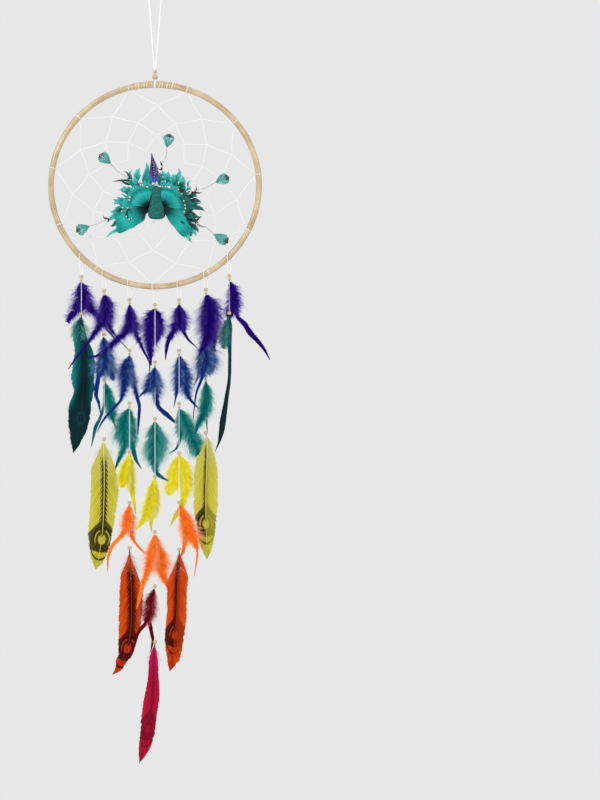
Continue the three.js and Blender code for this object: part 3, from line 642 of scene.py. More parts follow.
def goose_material(name, base, light, ink, foot, strength, stroke_width):
    """A printed goose feather: strokes along the shaft, and an eye of rings near the tip. The foot
    is the dye's colour at the top, where the feather is tied."""
    s = Shader(name, 0.6, Specular_IOR_Level=0.06)
    along, across, tone = s.flow()
    off = s.size(across)
    comb = goose_comb(s, along, off, tone)
    vane_dye = s.mix(s.step(s.weigh((comb, 1.0), (off, 0.35)), 0.35, 0.95), base, light)
    dye = s.mix(s.step(along, 0.16, 0.42), foot, vane_dye)
    printed = s.fall(tone, 1.4, 1.6)
    wobble = s.noise(s.combine(s.times(along, 30.0), across, 0.0), 2.2, 3.0)

    stroke = s.math("SINE", s.weigh((along, 190.0), (off, -42.0)))
    reach = s.times(s.weigh((stroke, 0.35), (wobble, 0.9), (printed, 0.5)), stroke_width)
    near = s.fall(s.math("SUBTRACT", off, reach), -0.03, 0.03)
    upper = s.times(s.step(along, 0.1, 0.2), s.fall(along, 0.62, 0.68))
    strokes = s.times(near, s.step(off, 0.015, 0.04), upper)

    shoulder = s.math("SUBTRACT", along, s.weigh((off, 0.13), (wobble, 0.03)))
    zone = s.times(s.step(shoulder, 0.58, 0.6), s.fall(along, 0.86, 0.88))
    hatch = s.math("SINE", s.weigh((along, 230.0), (off, -60.0), (wobble, 5.0)))
    hatched = s.times(zone, s.step(hatch, -1.3, -0.75))

    uneven = s.times(wobble, 0.12)
    down, eye = eye_distance(s, along, across, 0.775, 0.105, 0.68, uneven)
    clear, inked = (0, 0, 0), (255, 255, 255)
    rings = s.ramp(
        eye, (0.0, clear), (0.42, clear), (0.48, inked), (0.66, inked), (0.71, clear),
        (0.75, clear), (0.8, inked), (1.0, inked),
    )
    below = s.times(s.step(eye, 0.42, 0.48), s.step(down, -0.1, 0.5))
    slot = s.fall(s.weigh((off, 1.0), (down, 0.35)), -0.05, 0.0)
    in_eye = s.fall(eye, 0.98, 1.02)

    cup_line = s.weigh((along, 1.0), (s.times(across, across), 0.16), (1.0, -0.93))
    chevron = s.fall(s.size(cup_line), 0.004, 0.013)
    ink_share = s.mix(in_eye, s.most(hatched, strokes, chevron), s.most(rings, below, slot))
    weight = s.times(s.weigh((comb, 0.5), (printed, 0.45), (1.0, 0.25)), strength)
    s.colour(s.mix(s.math("MULTIPLY", ink_share, weight, clamp=True), dye, ink))
    s.bump(comb, 0.0002, 0.4)
    return s.material


def plain_goose_material():
    """The dark green feathers: teal edges, a nearly black middle and a faint eye."""
    s = Shader("goose_dark_green", 0.6, Specular_IOR_Level=0.04)
    along, across, tone = s.flow()
    off = s.size(across)
    comb = goose_comb(s, along, off, tone)
    middle = s.weigh((off, 1.25), (comb, 0.5), (s.step(along, 0.1, 0.75), -0.45))
    edge = s.ramp(
        middle, (0.0, (2, 22, 30)), (0.35, (4, 44, 52)), (0.75, (14, 84, 88)), (1.0, (28, 112, 114)),
    )
    low = s.step(s.weigh((along, 1.0), (off, -0.1), (comb, 0.15)), 0.6, 0.75)
    _, eye = eye_distance(s, along, across, 0.76, 0.07, 0.45)
    rings = s.ramp(
        eye, (0.0, (6, 34, 42)), (0.45, (8, 44, 48)), (0.6, (16, 60, 68)), (0.75, (8, 42, 46)),
        (1.0, (8, 40, 42)),
    )
    s.colour(s.mix(low, edge, s.mix(s.times(comb, 0.5), rings, (4, 26, 30))))
    s.bump(comb, 0.0002, 0.4)
    return s.material


def fan_material():
    """Satin teal vanes that darken to black where they are tied."""
    s = Shader("fan_teal", 0.45, Specular_IOR_Level=0.12)
    along, across, tone = s.flow()
    comb = s.noise(s.combine(s.times(across, 60.0), s.times(along, 1.5), tone), 1.0, 3.0)
    shade = s.weigh((along, 1.0), (comb, 0.25), (tone, 0.1))
    s.paint(
        shade, (0.22, (0, 8, 10)), (0.38, (4, 48, 50)), (0.55, (14, 140, 136)), (0.85, (36, 172, 164)),
        (1.0, (16, 130, 126)),
    )
    s.bump(comb, 0.0002, 0.4)
    return s.material


def fringe_material(name, dark, main, light):
    """Small feathers and shafts: one dye, paler towards the tip and the edges."""
    s = Shader(name, 0.5, Specular_IOR_Level=0.15)
    along, across, tone = s.flow()
    shade = s.weigh((along, 0.8), (s.size(across), 0.25), (tone, 0.25))
    s.paint(shade, (0.18, dark), (0.5, main), (0.95, light))
    return s.material


def plume_material():
    """Glossy trimmed plume: a dark patch towards its round end, a pale rim and fine barbs."""
    s = Shader("plume", 0.2, Coat_Weight=0.6, Coat_Roughness=0.08)
    along, across, tone = s.flow()
    comb = s.noise(s.combine(s.times(across, 9.0), s.times(along, 2.0), tone), 1.6, 3.0)
    patch = s.step(s.weigh((along, 1.0), (comb, 0.7), (s.size(across), -0.3)), 0.95, 1.1)
    shade = s.weigh((comb, 0.8), (along, 0.3))
    teal = s.ramp(shade, (0.3, (14, 96, 92)), (0.6, (50, 150, 142)), (0.9, (140, 205, 198)))
    s.colour(s.mix(patch, teal, (6, 30, 34)))
    s.bump(comb, 0.0003, 0.6)
    return s.material


def crest_material():
    """Violet barbs, blue at the foot."""
    s = Shader("crest", 0.4, Metallic=0.2, Coat_Weight=0.15)
    along, across, tone = s.flow()
    off = s.size(across)
    comb = s.noise(s.combine(s.weigh((along, 30.0), (off, -6.0)), across, tone), 1.0, 3.0)
    shade = s.weigh((off, 0.5), (comb, 0.7))
    violet = s.ramp(shade, (0.25, (12, 2, 30)), (0.55, (38, 12, 88)), (0.9, (74, 50, 136)))
    s.colour(s.mix(s.step(along, 0.05, 0.3), (40, 60, 190), violet))
    s.bump(comb, 0.0003, 0.5)
    return s.material


def gem_material():
    """Cut glass on foil, painted with reflections: each facet is one tint between grey and white."""
    s = Shader("gem", 0.06, Metallic=0.55, Coat_Weight=1.0)
    facet = s.flow()[2]
    # painted reflections: each facet's tint from grey to white, a bright painted highlight on the table and
    # a dark foot
    s.paint(facet, (0.1, (90, 112, 120)), (0.5, (190, 205, 210)), (0.85, (255, 255, 255)))
    return s.material


def metal_material():
    """Worn wire, from dark to bright."""
    s = Shader("wire", 0.35, Metallic=0.8)
    wear = s.noise(s.place(), 900.0, 3.0)
    s.paint(wear, (0.3, (70, 60, 54)), (0.7, (168, 150, 134)))
    return s.material


MATERIALS = {
    "cane": cane_material("cane", 1.3, (158, 130, 96), (188, 164, 128), (206, 188, 156)),
    "binding": cane_material("binding", 1.6, (172, 146, 110), (202, 180, 144), (222, 206, 178)),
    "bead": bead_material(),
    "cord": thread_material("cotton_cord", 3),
    "web": thread_material("web_thread", 2),
    "thread": thread_material("strand_thread", 2),
    "felt": felt_material(),
    "dark_green": plain_goose_material(),
    "fan": fan_material(),
    "fringe": fringe_material("fringe_teal", (6, 48, 52), (28, 142, 138), (88, 190, 184)),
    "fringe_dark": fringe_material("fringe_dark", (4, 16, 14), (12, 56, 54), (34, 110, 104)),
    "curl": fringe_material("curl", (10, 8, 8), (34, 40, 34), (90, 104, 90)),
    "plume": plume_material(),
    "crest": crest_material(),
    "gem": gem_material(),
    "metal": metal_material(),
}
# dark (painted shade by the shaft), main, light (painted light at the barbs' ends) and tip of each colour of
# hackle
HACKLES = {
    "purple": [(16, 0, 80), (34, 0, 128), (94, 66, 180), (26, 0, 72)],
    "blue": [(4, 14, 92), (14, 56, 142), (124, 156, 200), (12, 24, 84)],
    "teal": [(0, 68, 76), (0, 132, 128), (122, 192, 188), (0, 68, 80)],
    "yellow": [(218, 200, 4), (238, 228, 30), (240, 236, 150), (206, 196, 60)],
    "orange": [(236, 92, 4), (255, 136, 36), (252, 192, 140), (222, 112, 46)],
    "crimson": [(92, 0, 8), (124, 0, 20), (192, 110, 120), (74, 0, 18)],
}
# base, light, ink, foot, strength of the print and width of its strokes
PRINTED_GOOSE = {
    "lime": [(162, 151, 28), (192, 185, 74), (38, 32, 0), (178, 172, 78), 1.0, 0.2],
    "rust": [(150, 28, 0), (200, 76, 12), (54, 4, 0), (190, 62, 8), 1.0, 0.3],
    "pink": [(146, 0, 32), (170, 20, 56), (70, 0, 22), (172, 10, 76), 0.6, 0.12],
}
# shaft, and the foot down's dark (painted shade by its shaft), main and light (painted light at the barbs'
# ends), of each tail feather
TAIL_FEET = {
    "dark_green": [(14, 40, 44), (36, 110, 108), (84, 150, 146), (170, 200, 196)],
    "lime": [(206, 198, 120), (170, 170, 96), (196, 196, 140), (220, 218, 186)],
    "rust": [(120, 40, 20), (188, 110, 76), (198, 172, 156), (222, 210, 200)],
    "pink": [(120, 16, 50), (168, 10, 74), (184, 40, 100), (216, 140, 166)],
}
for dye, tints in HACKLES.items():
    MATERIALS[dye] = hackle_material(f"hackle_{dye}", *tints)
for dye, tints in PRINTED_GOOSE.items():
    MATERIALS[dye] = goose_material(f"goose_{dye}", *tints)
for dye, (shaft, dark, main, light) in TAIL_FEET.items():
    MATERIALS[f"down_{dye}"] = hackle_material(f"down_{dye}", dark, main, light, main)
    MATERIALS[f"shaft_{dye}"] = fringe_material(f"shaft_{dye}", shaft, shaft, shaft)


# ---- camera ----
CAMERA_PLACE = (0.2168, -3.0, -0.6101)
CAMERA_LENS = 90.3


def make_camera():
    camera = bpy.data.objects.new("camera", bpy.data.cameras.new("camera"))
    camera.data.lens = CAMERA_LENS
    camera.location = CAMERA_PLACE
    camera.rotation_euler = (math.radians(90), 0, 0)
    bpy.context.scene.collection.objects.link(camera)
    bpy.context.scene.camera = camera


# ---- cords ----
# how far a ply's middle is from the cord's, as a share of its diameter, by the number of plies
PLY_ORBIT = {2: 0.25, 3: 0.27}
LAY_PITCH = 3.4
POINT_STEP = 0.9


def twisted(piece, path, diameter, plies, pitch):
    """Plies of thread laid round each other along a path in millimetres, one turn in each pitch."""
    run = arc_length(path)
    normals, binormals = frames(path)
    orbit = diameter * PLY_ORBIT[plies]
    for ply in range(plies):
        turn = (run / pitch + ply / plies) * TURN
        way = normals * np.cos(turn)[:, None] + binormals * np.sin(turn)[:, None]
        piece.tube(path + way * orbit, diameter / 2 - orbit, 6)


def make_cord(piece, route, diameter, plies, material, **facts):
    """A twisted cord along a route in metres, with as many points as its own length needs."""
    route = np.array(route, float)
    length = arc_length(smooth(route / MM, 400))[-1] * MM
    path = smooth(route / MM, int(length / MM / (POINT_STEP * diameter)) + 2)
    twisted(piece, path, diameter, plies, diameter * LAY_PITCH)
    made = piece.finish(material)


def make_strand_cords(strand, name):
    """The thread over the cane and down to the joint or the tail, and the thread below a joint."""
    x, z = strand["x"] * MM, rim_z(strand["x"]) * MM
    first = strand["bundles"][0]["beads"][0] * MM
    joints = [bundle["beads"][0] * MM for bundle in strand["bundles"] if bundle.get("joint")]
    tail = strand["tail"]["bead"] * MM
    end = joints[0] if joints else tail
    half = LEG_GAP / 2
    legs = [(-half, 0, -first), *OVER_CANE, (half, 0, -first), (0.0003, 0, -first - 0.005)]
    drops = np.linspace(first + LEGS_MEET, end, 12)
    route = [*legs, *((0, 0, -drop) for drop in drops)]
    routes = {"upper": [(x + px, py, z + pz) for px, py, pz in route]}
    if joints:
        routes["lower"] = [(x, 0, z - drop) for drop in np.linspace(end, tail, 15)]
    for part, way in routes.items():
        piece = Piece(f"{name}_thread_{part}", f"{name}_{part}", "strand_thread", f"{name}_cord_{part}")
        make_cord(piece, way, STRAND_THREAD, 2, MATERIALS["thread"], far_end="object")


def make_cords():
    knot = make_hanger_knot()
    loop = Piece("cord_hanging_loop", "loop", "cord", "hanging_loop")
    make_cord(loop, LOOP_ROUTE, LOOP_CORD, 3, MATERIALS["cord"], far_end="knot", with_pieces=[knot])
    for number, strand in enumerate(STRANDS, 1):
        make_strand_cords(strand, f"strand_{number}")


def make_hanger_knot():
    """An overhand knot, the stem down through both beads, and two turns round the binding."""
    piece = Piece("hanger_knot", "hanger", "cord", "hanger_cord")
    knot_radius, stem_radius, turn_radius, wrap_radius, wrap_width = 0.62, 0.55, 0.58, 6.3, 2.4
    turn = np.linspace(0, TURN, 73)
    size = 1.25 * knot_radius
    across = size * (np.sin(turn) + 1.3 * np.sin(2 * turn))
    knot = stacked(across, 0.95 * np.sin(3 * turn), size * (np.cos(turn) - 1.3 * np.cos(2 * turn)))
    piece.tube(knot + [0, 0, KNOT_Z], knot_radius)
    stem = [[0, 0, z] for z in (KNOT_Z, SMALL_BEAD_Z, LARGE_BEAD_Z, RIM_TOP_Z + wrap_radius)]
    piece.tube(smooth(stem, 16), stem_radius)
    share = np.linspace(0, 1, 97)
    turn = 2 * TURN * share
    height = RIM_TOP_Z + wrap_radius * np.cos(turn)
    wrap = stacked((share - 0.5) * wrap_width, wrap_radius * np.sin(turn), height)
    piece.tube(wrap, turn_radius)
    return piece.finish(MATERIALS["cord"])


# ---- beads ----
# how far up and down a bead's side goes before its hole, as an angle
BEAD_END = 1.2


def bead_profile(diameter, bore):
    """A slightly barrel-shaped bead with eased edges at its hole, as [radius, height] points."""
    half = 0.86 * diameter / 2
    t = np.linspace(-BEAD_END, BEAD_END, 11)
    outer = stacked(diameter / 2 * np.cos(t) ** 0.8, half * np.sin(t) / math.sin(BEAD_END))
    edge = max(bore + 0.25, 0.86 * outer[0][0])
    hole = [[edge, 0.99], [bore, 0.86], [bore, 0], [bore, -0.86], [edge, -0.99]]
    return [*outer, *([radius, half * share] for radius, share in hole)]


def make_hanger_beads():
    for name, z, size in (("large", LARGE_BEAD_Z, 8.9), ("small", SMALL_BEAD_Z, 5.7)):
        piece = Piece(f"bead_hanger_{name}", "hanger", "bead", f"hanger_bead_{name}")
        piece.turned((0, 0, z), bead_profile(size, 0.9), 28)
        piece.finish(MATERIALS["bead"])


# ---- hoop, binding and web ----
def make_hoop():
    """The cane: a ring whose section swells a little at the rattan's joints."""
    theta = np.linspace(0, TURN, 432, endpoint=False)[:, None]
    turn = np.linspace(0, TURN, 20, endpoint=False)
    gap = np.abs((theta - np.radians(CANE_JOINTS) + math.pi) % TURN - math.pi)
    swell = 0.03 * np.exp(-((gap / 0.012) ** 2)) - 0.012 * np.exp(-((gap / 0.03) ** 2))
    wave = 0.012 * np.sin(5 * theta + 1) + 0.008 * np.sin(11 * theta)
    radius = CANE_RADIUS * (0.985 + swell.sum(axis=1, keepdims=True) + wave)
    outward, depth = radius * np.cos(turn), radius * np.sin(turn)
    x, z = (RIM_A + outward) * np.cos(theta), (RIM_B + outward) * np.sin(theta)
    piece = Piece("hoop_cane", "hoop", "cane", "hoop")
    flow = stacked(theta * RIM_A, outward, depth)
    piece.sheet(stacked(x, depth, HOOP_Z + z), flow, closed=True, looped=True)
    piece.finish(MATERIALS["cane"])


def ways_at(angle):
    """Directions along the cane, outward from the hoop's middle and straight back."""
    cos, sin = np.cos(angle), np.sin(angle)
    return stacked(-sin, 0, cos), stacked(cos, 0, sin), np.array([0, 1.0, 0])


def make_binding():
    """A split-cane strip wound over the joint, with one wider gap near its left end."""
    turns, steps = 16, 26
    wind = np.linspace(0, turns * TURN, turns * steps + 1)
    share = wind / wind[-1]
    gap = 0.02 * (np.clip((share - 0.12) / 0.02, 0, 1) - share)
    theta = math.pi / 2 + BINDING_HALF_ANGLE * (1 - 2 * (share + gap))
    along, outward, back = ways_at(theta)
    round_way = outward * np.cos(wind)[:, None] + back * np.sin(wind)[:, None]
    width = 2 * BINDING_HALF_ANGLE * RIM_A / turns * 0.9
    section = np.array([
        (-0.5, 0), (-0.46, 0.42), (-0.25, 0.66), (0, 0.72), (0.25, 0.66), (0.46, 0.42), (0.5, 0), (0, -0.05),
    ])
    across, height = section.T * [[width], [1]]
    middle = stacked(RIM_A * np.cos(theta), 0, HOOP_Z + RIM_B * np.sin(theta))[:, None]
    rise = (CANE_RADIUS + 0.12 + height)[:, None]
    rows = middle + along[:, None] * across[:, None] + round_way[:, None] * rise
    piece = Piece("hoop_binding_strip", "hoop", "binding", "hoop_binding")
    piece.sheet(rows, stacked(wind[:, None] * CANE_RADIUS, across, height), closed=True)
    piece.cap(0, len(wind), len(section))
    piece.finish(MATERIALS["binding"])


def web_node(row, k):
    """The k-th knot of a row of the web; every second row is shifted by half a step."""
    angle = WEB_FIRST_ANCHOR + (k + (row % 2) / 2) / WEB_ANCHORS * TURN
    return rim_point(angle, WEB_ROWS[row])


def make_web():
    """Thread wound round the cane at each anchor, then looped row by row towards the middle."""
    piece = Piece("web_thread", "hoop", "web_thread", "web")
    for row in range(len(WEB_ROWS) - 1):
        for k in range(WEB_ANCHORS):
            between = web_node(row + 1, k + row % 2)
            for a, b in ((web_node(row, k), between), (between, web_node(row, k + 1))):
                middle = (a + b) / 2
                slack = (middle - [0, 0, HOOP_Z]) * -0.012
                lift = [0, 0.35 * (-1) ** row, 0]
                piece.tube(smooth([a, middle + slack + lift, b], 9), WEB_THREAD / 2, 6)
    for row in range(1, len(WEB_ROWS)):
        for k in range(WEB_ANCHORS):
            make_hitch(piece, web_node(row, k))
    for k in range(WEB_ANCHORS):
        make_anchor(piece, WEB_FIRST_ANCHOR + k / WEB_ANCHORS * TURN)
    piece.finish(MATERIALS["web"])


def make_hitch(piece, centre):
    """The small loop of a knot in the web."""
    turn = np.linspace(0, TURN, 19)
    loop = stacked(0.62 * np.sin(turn), 0.5 * np.sin(2 * turn), 0.62 * np.cos(turn))
    piece.tube(centre + loop, WEB_THREAD * 0.42, 6)


def make_anchor(piece, angle):
    """Two and a half turns of the web's thread round the cane."""
    share = np.linspace(0, 1, 61)[:, None]
    turn = 2.5 * TURN * share
    radius = CANE_RADIUS + WEB_THREAD / 2 + 0.06
    along, outward, back = ways_at(angle)
    round_way = back * np.sin(turn) - outward * np.cos(turn)
    piece.tube(rim_point(angle) + along * (share - 0.5) * 2.6 + round_way * radius, WEB_THREAD / 2, 6)


# ---- feathers ----
class Spine:
    """A feather's shaft, with a direction across the vane and one out of its face."""

    def __init__(self, points, turn=0):
        """turn is how far the feather's face is turned from the front, in degrees."""
        self.path = smooth(points, SPINE_POINTS)
        self.length = arc_length(self.path)[-1]
        self.tangent = unit(np.gradient(self.path, axis=0))
        facing = (math.sin(math.radians(turn)), -math.cos(math.radians(turn)), 0.0)
        self.side = unit(np.cross(facing, self.tangent))
        self.normal = np.cross(self.tangent, self.side)

    def at(self, share):
        """Place, tangent, side and normal at a share of the length."""
        place = share * (SPINE_POINTS - 1)
        steps = np.arange(SPINE_POINTS)
        fields = (self.path, self.tangent, self.side, self.normal)
        return [stacked(*(np.interp(place, steps, column) for column in field.T)) for field in fields]

    def shaft(self, piece, start, end, thick, thin, material=0):
        share = np.linspace(start, end, 22)
        piece.tube(self.at(share)[0], np.linspace(thick, thin, 22), 6, material, stacked(share, 0, 0.5))


def barb_lines(spine, roots, side, length, angle, sweep, lift, steps):
    """Barbs' centrelines, and how far each point is along and across. angle is between barb and
    shaft at the root, sweep the share of it left at the end, lift the rise out of the vane."""
    s = np.linspace(0, 1, steps)
    turn = angle[:, None] * (1 - (1 - sweep[:, None]) * s)
    reach = length[:, None] / (steps - 1)
    forward = np.cumsum(np.cos(turn) * reach, axis=1) - np.cos(turn[:, :1]) * reach
    across = np.cumsum(np.sin(turn) * reach, axis=1) - np.sin(turn[:, :1]) * reach
    rise = (lift * length)[:, None] * s**1.5
    p, tangent, sideways, normal = (v[:, None] for v in spine.at(roots))
    lines = p + tangent * forward[..., None] + sideways * (side * across[..., None])
    return lines + normal * rise[..., None], forward, across


def lay_ribbons(piece, lines, normal, widths, roll, flows, material=0):
    """Ribbons on the lines, each rolled about itself by its own angle."""
    tangent = unit(np.gradient(lines, axis=1))
    flat = unit(np.cross(tangent, normal))
    up = np.cross(flat, tangent)
    roll = roll[:, None, None]
    across = flat * np.cos(roll) + up * np.sin(roll)
    piece.ribbons(lines, across * widths[..., None] / 2, flows, material)


def fluff(piece, spine, widths, rng, *, density, width, pale, material=0, angle=74, front=1.0):
    """Loose downy barbs on both sides of the shaft, density of them in each millimetre. widths is
    [share of the shaft, half width] points, width a barb's own, pale the range of the flow from painted
    shade at its root to painted light at its end, angle its lean in degrees and front the most it may rise
    forward."""
    start, end = widths[0][0], widths[-1][0]
    count = max(6, int((end - start) * spine.length * density))
    s = np.linspace(0, 1, 7)
    for side in (-1, 1):
        roots = np.sort(rng.uniform(start, end, count))
        reach = np.interp(roots, *zip(*widths))
        clump = 1 + 0.16 * np.sin(roots * spine.length * 0.7 + rng.uniform(0, 6))
        clump = clump * np.clip((roots - start) * spine.length / 8, 0.12, 1) ** 0.5
        length = reach * clump * rng.uniform(0.85, 1.45, count)
        first = np.exp((start - roots) * spine.length / 5)
        slope = np.radians(rng.normal(angle, 10, count) + 26 * first)
        lift = rng.uniform(-1, front, count) * np.minimum(0.75, (10 if front > 0 else 7) / length)
        sweep = rng.uniform(0.3, 0.8, count)
        lines = barb_lines(spine, roots, side, length, slope, sweep, lift, len(s))[0]
        normal = spine.at(roots)[3][:, None]
        wave = np.sin(s * rng.uniform(4, 10, (count, 1)) + rng.uniform(0, 6, (count, 1)))
        wave = wave * (0.04 * length)[:, None] * s
        lines = lines + normal * wave[..., None]
        lines[..., 2] += np.roll(wave, 3, axis=0)
        widest = width * (1 - 0.86 * s**1.2) * rng.uniform(0.7, 1.2, (count, 1))
        tone = rng.uniform(0, 1, (count, 1))
        flows = stacked(roots[:, None] * 0.5, pale[0] + (pale[1] - pale[0]) * s, tone)
        lay_ribbons(piece, lines, normal, widest, rng.uniform(-1.1, 1.1, count), flows, material)


def blade(piece, spine, widths, rng):
    """The narrow end of a hackle: short barbs that lie close to the shaft."""
    start = widths[0][0]
    v = np.linspace(start, 1, int((1 - start) * spine.length * 1.9) + 4)
    count = len(v)
    half = np.interp(v, *zip(*widths))
    slope = np.radians(np.interp(v, [start, 1], [30, 18])) * rng.uniform(0.9, 1.1, count)
    roots = np.maximum.accumulate(np.clip(v - half / (spine.length * np.tan(slope * 0.85)), 0, 1))
    s = np.linspace(0, 1, 4)
    for side in (-1, 1):
        length = half / np.sin(slope * 0.85) * rng.uniform(0.88, 1.1, count)
        lift = rng.normal(0, 0.05, count)
        lines = barb_lines(spine, roots, side, length, slope, np.full(count, 0.7), lift, len(s))[0]
        normal = spine.at(roots)[3][:, None]
        widest = 1.1 * (1 - 0.75 * s) * np.ones((count, 1))
        tone = rng.uniform(0, 1, (count, 1))
        # s * 0.6 makes painted shade at each barb's root by the shaft, as in the down
        flows = stacked(np.interp(v, [start, 1], [0.6, 1])[:, None], s * 0.6, tone)
        lay_ribbons(piece, lines, normal, widest, rng.uniform(-0.35, 0.35, count), flows)
    spine.shaft(piece, start, 1, 0.32, 0.12)


def vane(piece, spine, side, outline, rng, *, cup, ragged, material=0, spacing=1.15, angle=38,
         widest=None, shift=0.0, faint=False):
    """One side of a closed vane: a sheet of barbs side by side. The outline is [share of the shaft,
    half width] points, which the barbs' ends reach. cup is how far the edge lies out of the shaft's
    plane, ragged how uneven it is, spacing the barbs' and angle their lean. The flow along the vane
    is moved by shift, the one across is a share of widest, and a faint side has 2 added to its tone."""
    v = np.linspace(outline[0][0], outline[-1][0], 240)
    w = np.interp(v, *zip(*outline))
    soften = np.hanning(15)
    w = np.convolve(np.pad(w, 7, mode="edge"), soften / soften.sum(), "valid")
    widest = widest or w.max()
    lean = np.radians(angle) * np.interp(v, [0, 1], [1.2, 0.72])
    root = np.maximum.accumulate(v - w / (spine.length * np.tan(lean * 0.9)))
    root = np.clip(root, outline[0][0], None)
    count = max(8, int((v[-1] - root[0]) * spine.length / spacing))
    roots = np.linspace(root[0], v[-1], count)
    reached = np.interp(roots, root, v)
    half = np.interp(reached, v, w)
    lean = np.interp(reached, v, lean)
    notch = (roots * spine.length / 11 + np.sin(roots * 40) + rng.uniform()) % 1
    uneven = 1 + ragged * (rng.normal(0, 1, count) - 4 * notch**6)
    length = np.maximum(half, 0.1) / np.sin(lean * 0.9) * uneven
    sweep, lift, steps = np.full(count, 0.8), np.zeros(count), 9
    lines, forward, across = barb_lines(spine, roots, side, length, lean, sweep, lift, steps)
    normal = spine.at(roots)[3][:, None]
    share = across / widest
    ripple = 0.13 * (-1.0) ** np.arange(count)[:, None] * np.sin(math.pi * np.clip(share, 0, 1) ** 0.5)
    billow = 0.5 * np.sin(roots * 17 + side)[:, None] * share + cup * share**2
    lines = lines + normal * (ripple + billow)[..., None]
    tone = rng.uniform(0, 1, count)[:, None] + 2 * faint
    run = roots[:, None] + forward / spine.length + shift
    piece.sheet(lines, stacked(run, side * share, tone), material)


BLADE_WIDTH = 5


def hackle(piece, spine, widths, sleek, front, rng):
    """A hackle: a dense core of down darkened as painted shade, a thin halo round it paled as painted light,
    and a narrow blade to the tip.
    The blade starts where the feather narrows to less than BLADE_WIDTH on each side."""
    half = [w for _, w in widths]
    last = len(half) - 1
    start = next(i for i in range(half.index(max(half)), last + 1) if half[i] < BLADE_WIDTH or i == last)
    lean = {"angle": 56 if sleek else 74, "front": front}
    core = [(v, w * (0.92 if sleek else 0.78)) for v, w in widths[: start + 1]]
    halo = [(v, w * 1.45) for v, w in widths[: start + 1]]
    # the core's pale range keeps it dark as painted shade of the dense down; the halo's is painted light
    # through thin barb ends
    fluff(piece, spine, core, rng, density=7.0, width=0.95, pale=(0.0, 0.42), **lean)
    fluff(piece, spine, halo, rng, density=5.0, width=0.46, pale=(0.3, 1.3), **lean)
    spine.shaft(piece, 0, widths[start][0], 0.5, 0.35)
    if start < last:
        blade(piece, spine, widths[start:], rng)


# the colours whose hackles lie closer to the shaft
SLEEK = ("teal", "yellow")
# [depth of the tip, turn in degrees] of each feather in a bundle, about the thread or behind it
ABOUT = [(-6, -18), (4, 22), (1, 70)]
BEHIND = [(3, 0), (5, 8), (4, -8)]
# half width of the down at a tail feather's foot, as a share of the feather's, along its shaft
FOOT_DOWN = [(0.02, 0.25), (0.06, 0.6), (0.1, 0.8), (0.15, 0.6), (0.24, 0.1)]
# the flow along a tail's vane where the print has its eye
EYE_IN_PRINT = 0.765


def strand_point(strand, down):
    """A point on a strand's line, down from the cane's middle."""
    return np.array([strand["x"], 0, rim_z(strand["x"]) - down])


def shaft_of(strand, rows, depth):
    """A feather's shaft and its [share of the shaft, half width] points from the strand's table."""
    side, down, half = np.array(rows, float).T
    points = strand_point(strand, 0) + stacked(side, depth, -down)
    run = arc_length(points)
    return points, list(zip(run / run[-1], half))


def make_bundle(strand, bundle, number, body):
    """Beads over a tuft of two or three feathers."""
    colour = bundle["colour"]
    name = f"strand_{number}_{colour}"
    rng = np.random.default_rng(number * 1000 + int(bundle["beads"][0]))
    beads = Piece(f"{name}_beads", body, "bead")
    for drop, size, bore in zip(bundle["beads"], (STRAND_BEAD, LITTLE_BEAD), (1.15, 0.8)):
        beads.turned(strand_point(strand, drop), bead_profile(size, bore))
    beads.finish(MATERIALS["bead"])

    piece = Piece(f"{name}_feathers", body, f"feather_{colour}", name)
    behind = bundle.get("behind", False)
    front = bundle.get("front", -0.05 if behind else 1.0)
    for rows, (depth, turn) in zip(bundle["feathers"], BEHIND if behind else ABOUT):
        t = np.linspace(0, 1, len(rows))
        y = depth * (np.minimum(1, 3 * t) if behind else t) + 0.8 * np.sign(depth)
        points, widths = shaft_of(strand, rows, y)
        hackle(piece, Spine(points, turn), widths, colour in SLEEK, front, rng)
    piece.finish(MATERIALS[colour])


def make_tail(strand, number):
    """A bead, then a long goose feather with down at its foot."""
    tail = strand["tail"]
    colour = tail["colour"]
    body = f"strand_{number}_tail"
    rng = np.random.default_rng(900 + number)
    bead = Piece(f"{body}_bead", body, "bead")
    bead.turned(strand_point(strand, tail["bead"]), bead_profile(STRAND_BEAD, 0.8))
    bead.finish(MATERIALS["bead"])

    piece = Piece(f"{body}_vane", body, f"feather_{colour}", f"{body}_feather")
    down, left, middle, right = np.array(tail["outline"], float).T
    turn = tail.get("turn", 0)
    t = (down - down[0]) / (down[-1] - down[0])
    points = strand_point(strand, 0) + stacked(middle, 2.0 * np.sin(math.pi * t), -down)
    points = np.vstack([strand_point(strand, tail["bead"] + 1.5), points])
    spine = Spine(points, turn)
    share = arc_length(points)[1:] / arc_length(points)[-1]
    wide = np.array([middle - left, right - middle]) / math.cos(math.radians(turn))
    for side, half in zip((-1, 1), wide):
        vane(
            piece, spine, side, list(zip(share, half)), rng, cup=-2.0, ragged=0.025,
            widest=wide.max(), shift=EYE_IN_PRINT - tail["eye"], faint=side == tail.get("faint"),
        )
    spine.shaft(piece, 0, 0.985, 0.9, 0.2, 1)
    foot = [(v, w * wide.max()) for v, w in FOOT_DOWN]
    # the down's colour runs from painted shade at the barbs' roots to painted light at their ends
    fluff(
        piece, spine, foot, rng, density=3.6, width=0.42, pale=(0.2, 1.0), material=2, angle=62,
        front=-0.05,
    )
    if "tuft" in tail:
        points, widths = shaft_of(strand, tail["tuft"], 3.0)
        fluff(piece, Spine(points), widths, rng, density=7.0, width=0.8, pale=(0.0, 0.7), material=2)
    piece.finish(MATERIALS[colour], MATERIALS[f"shaft_{colour}"], MATERIALS[f"down_{colour}"])


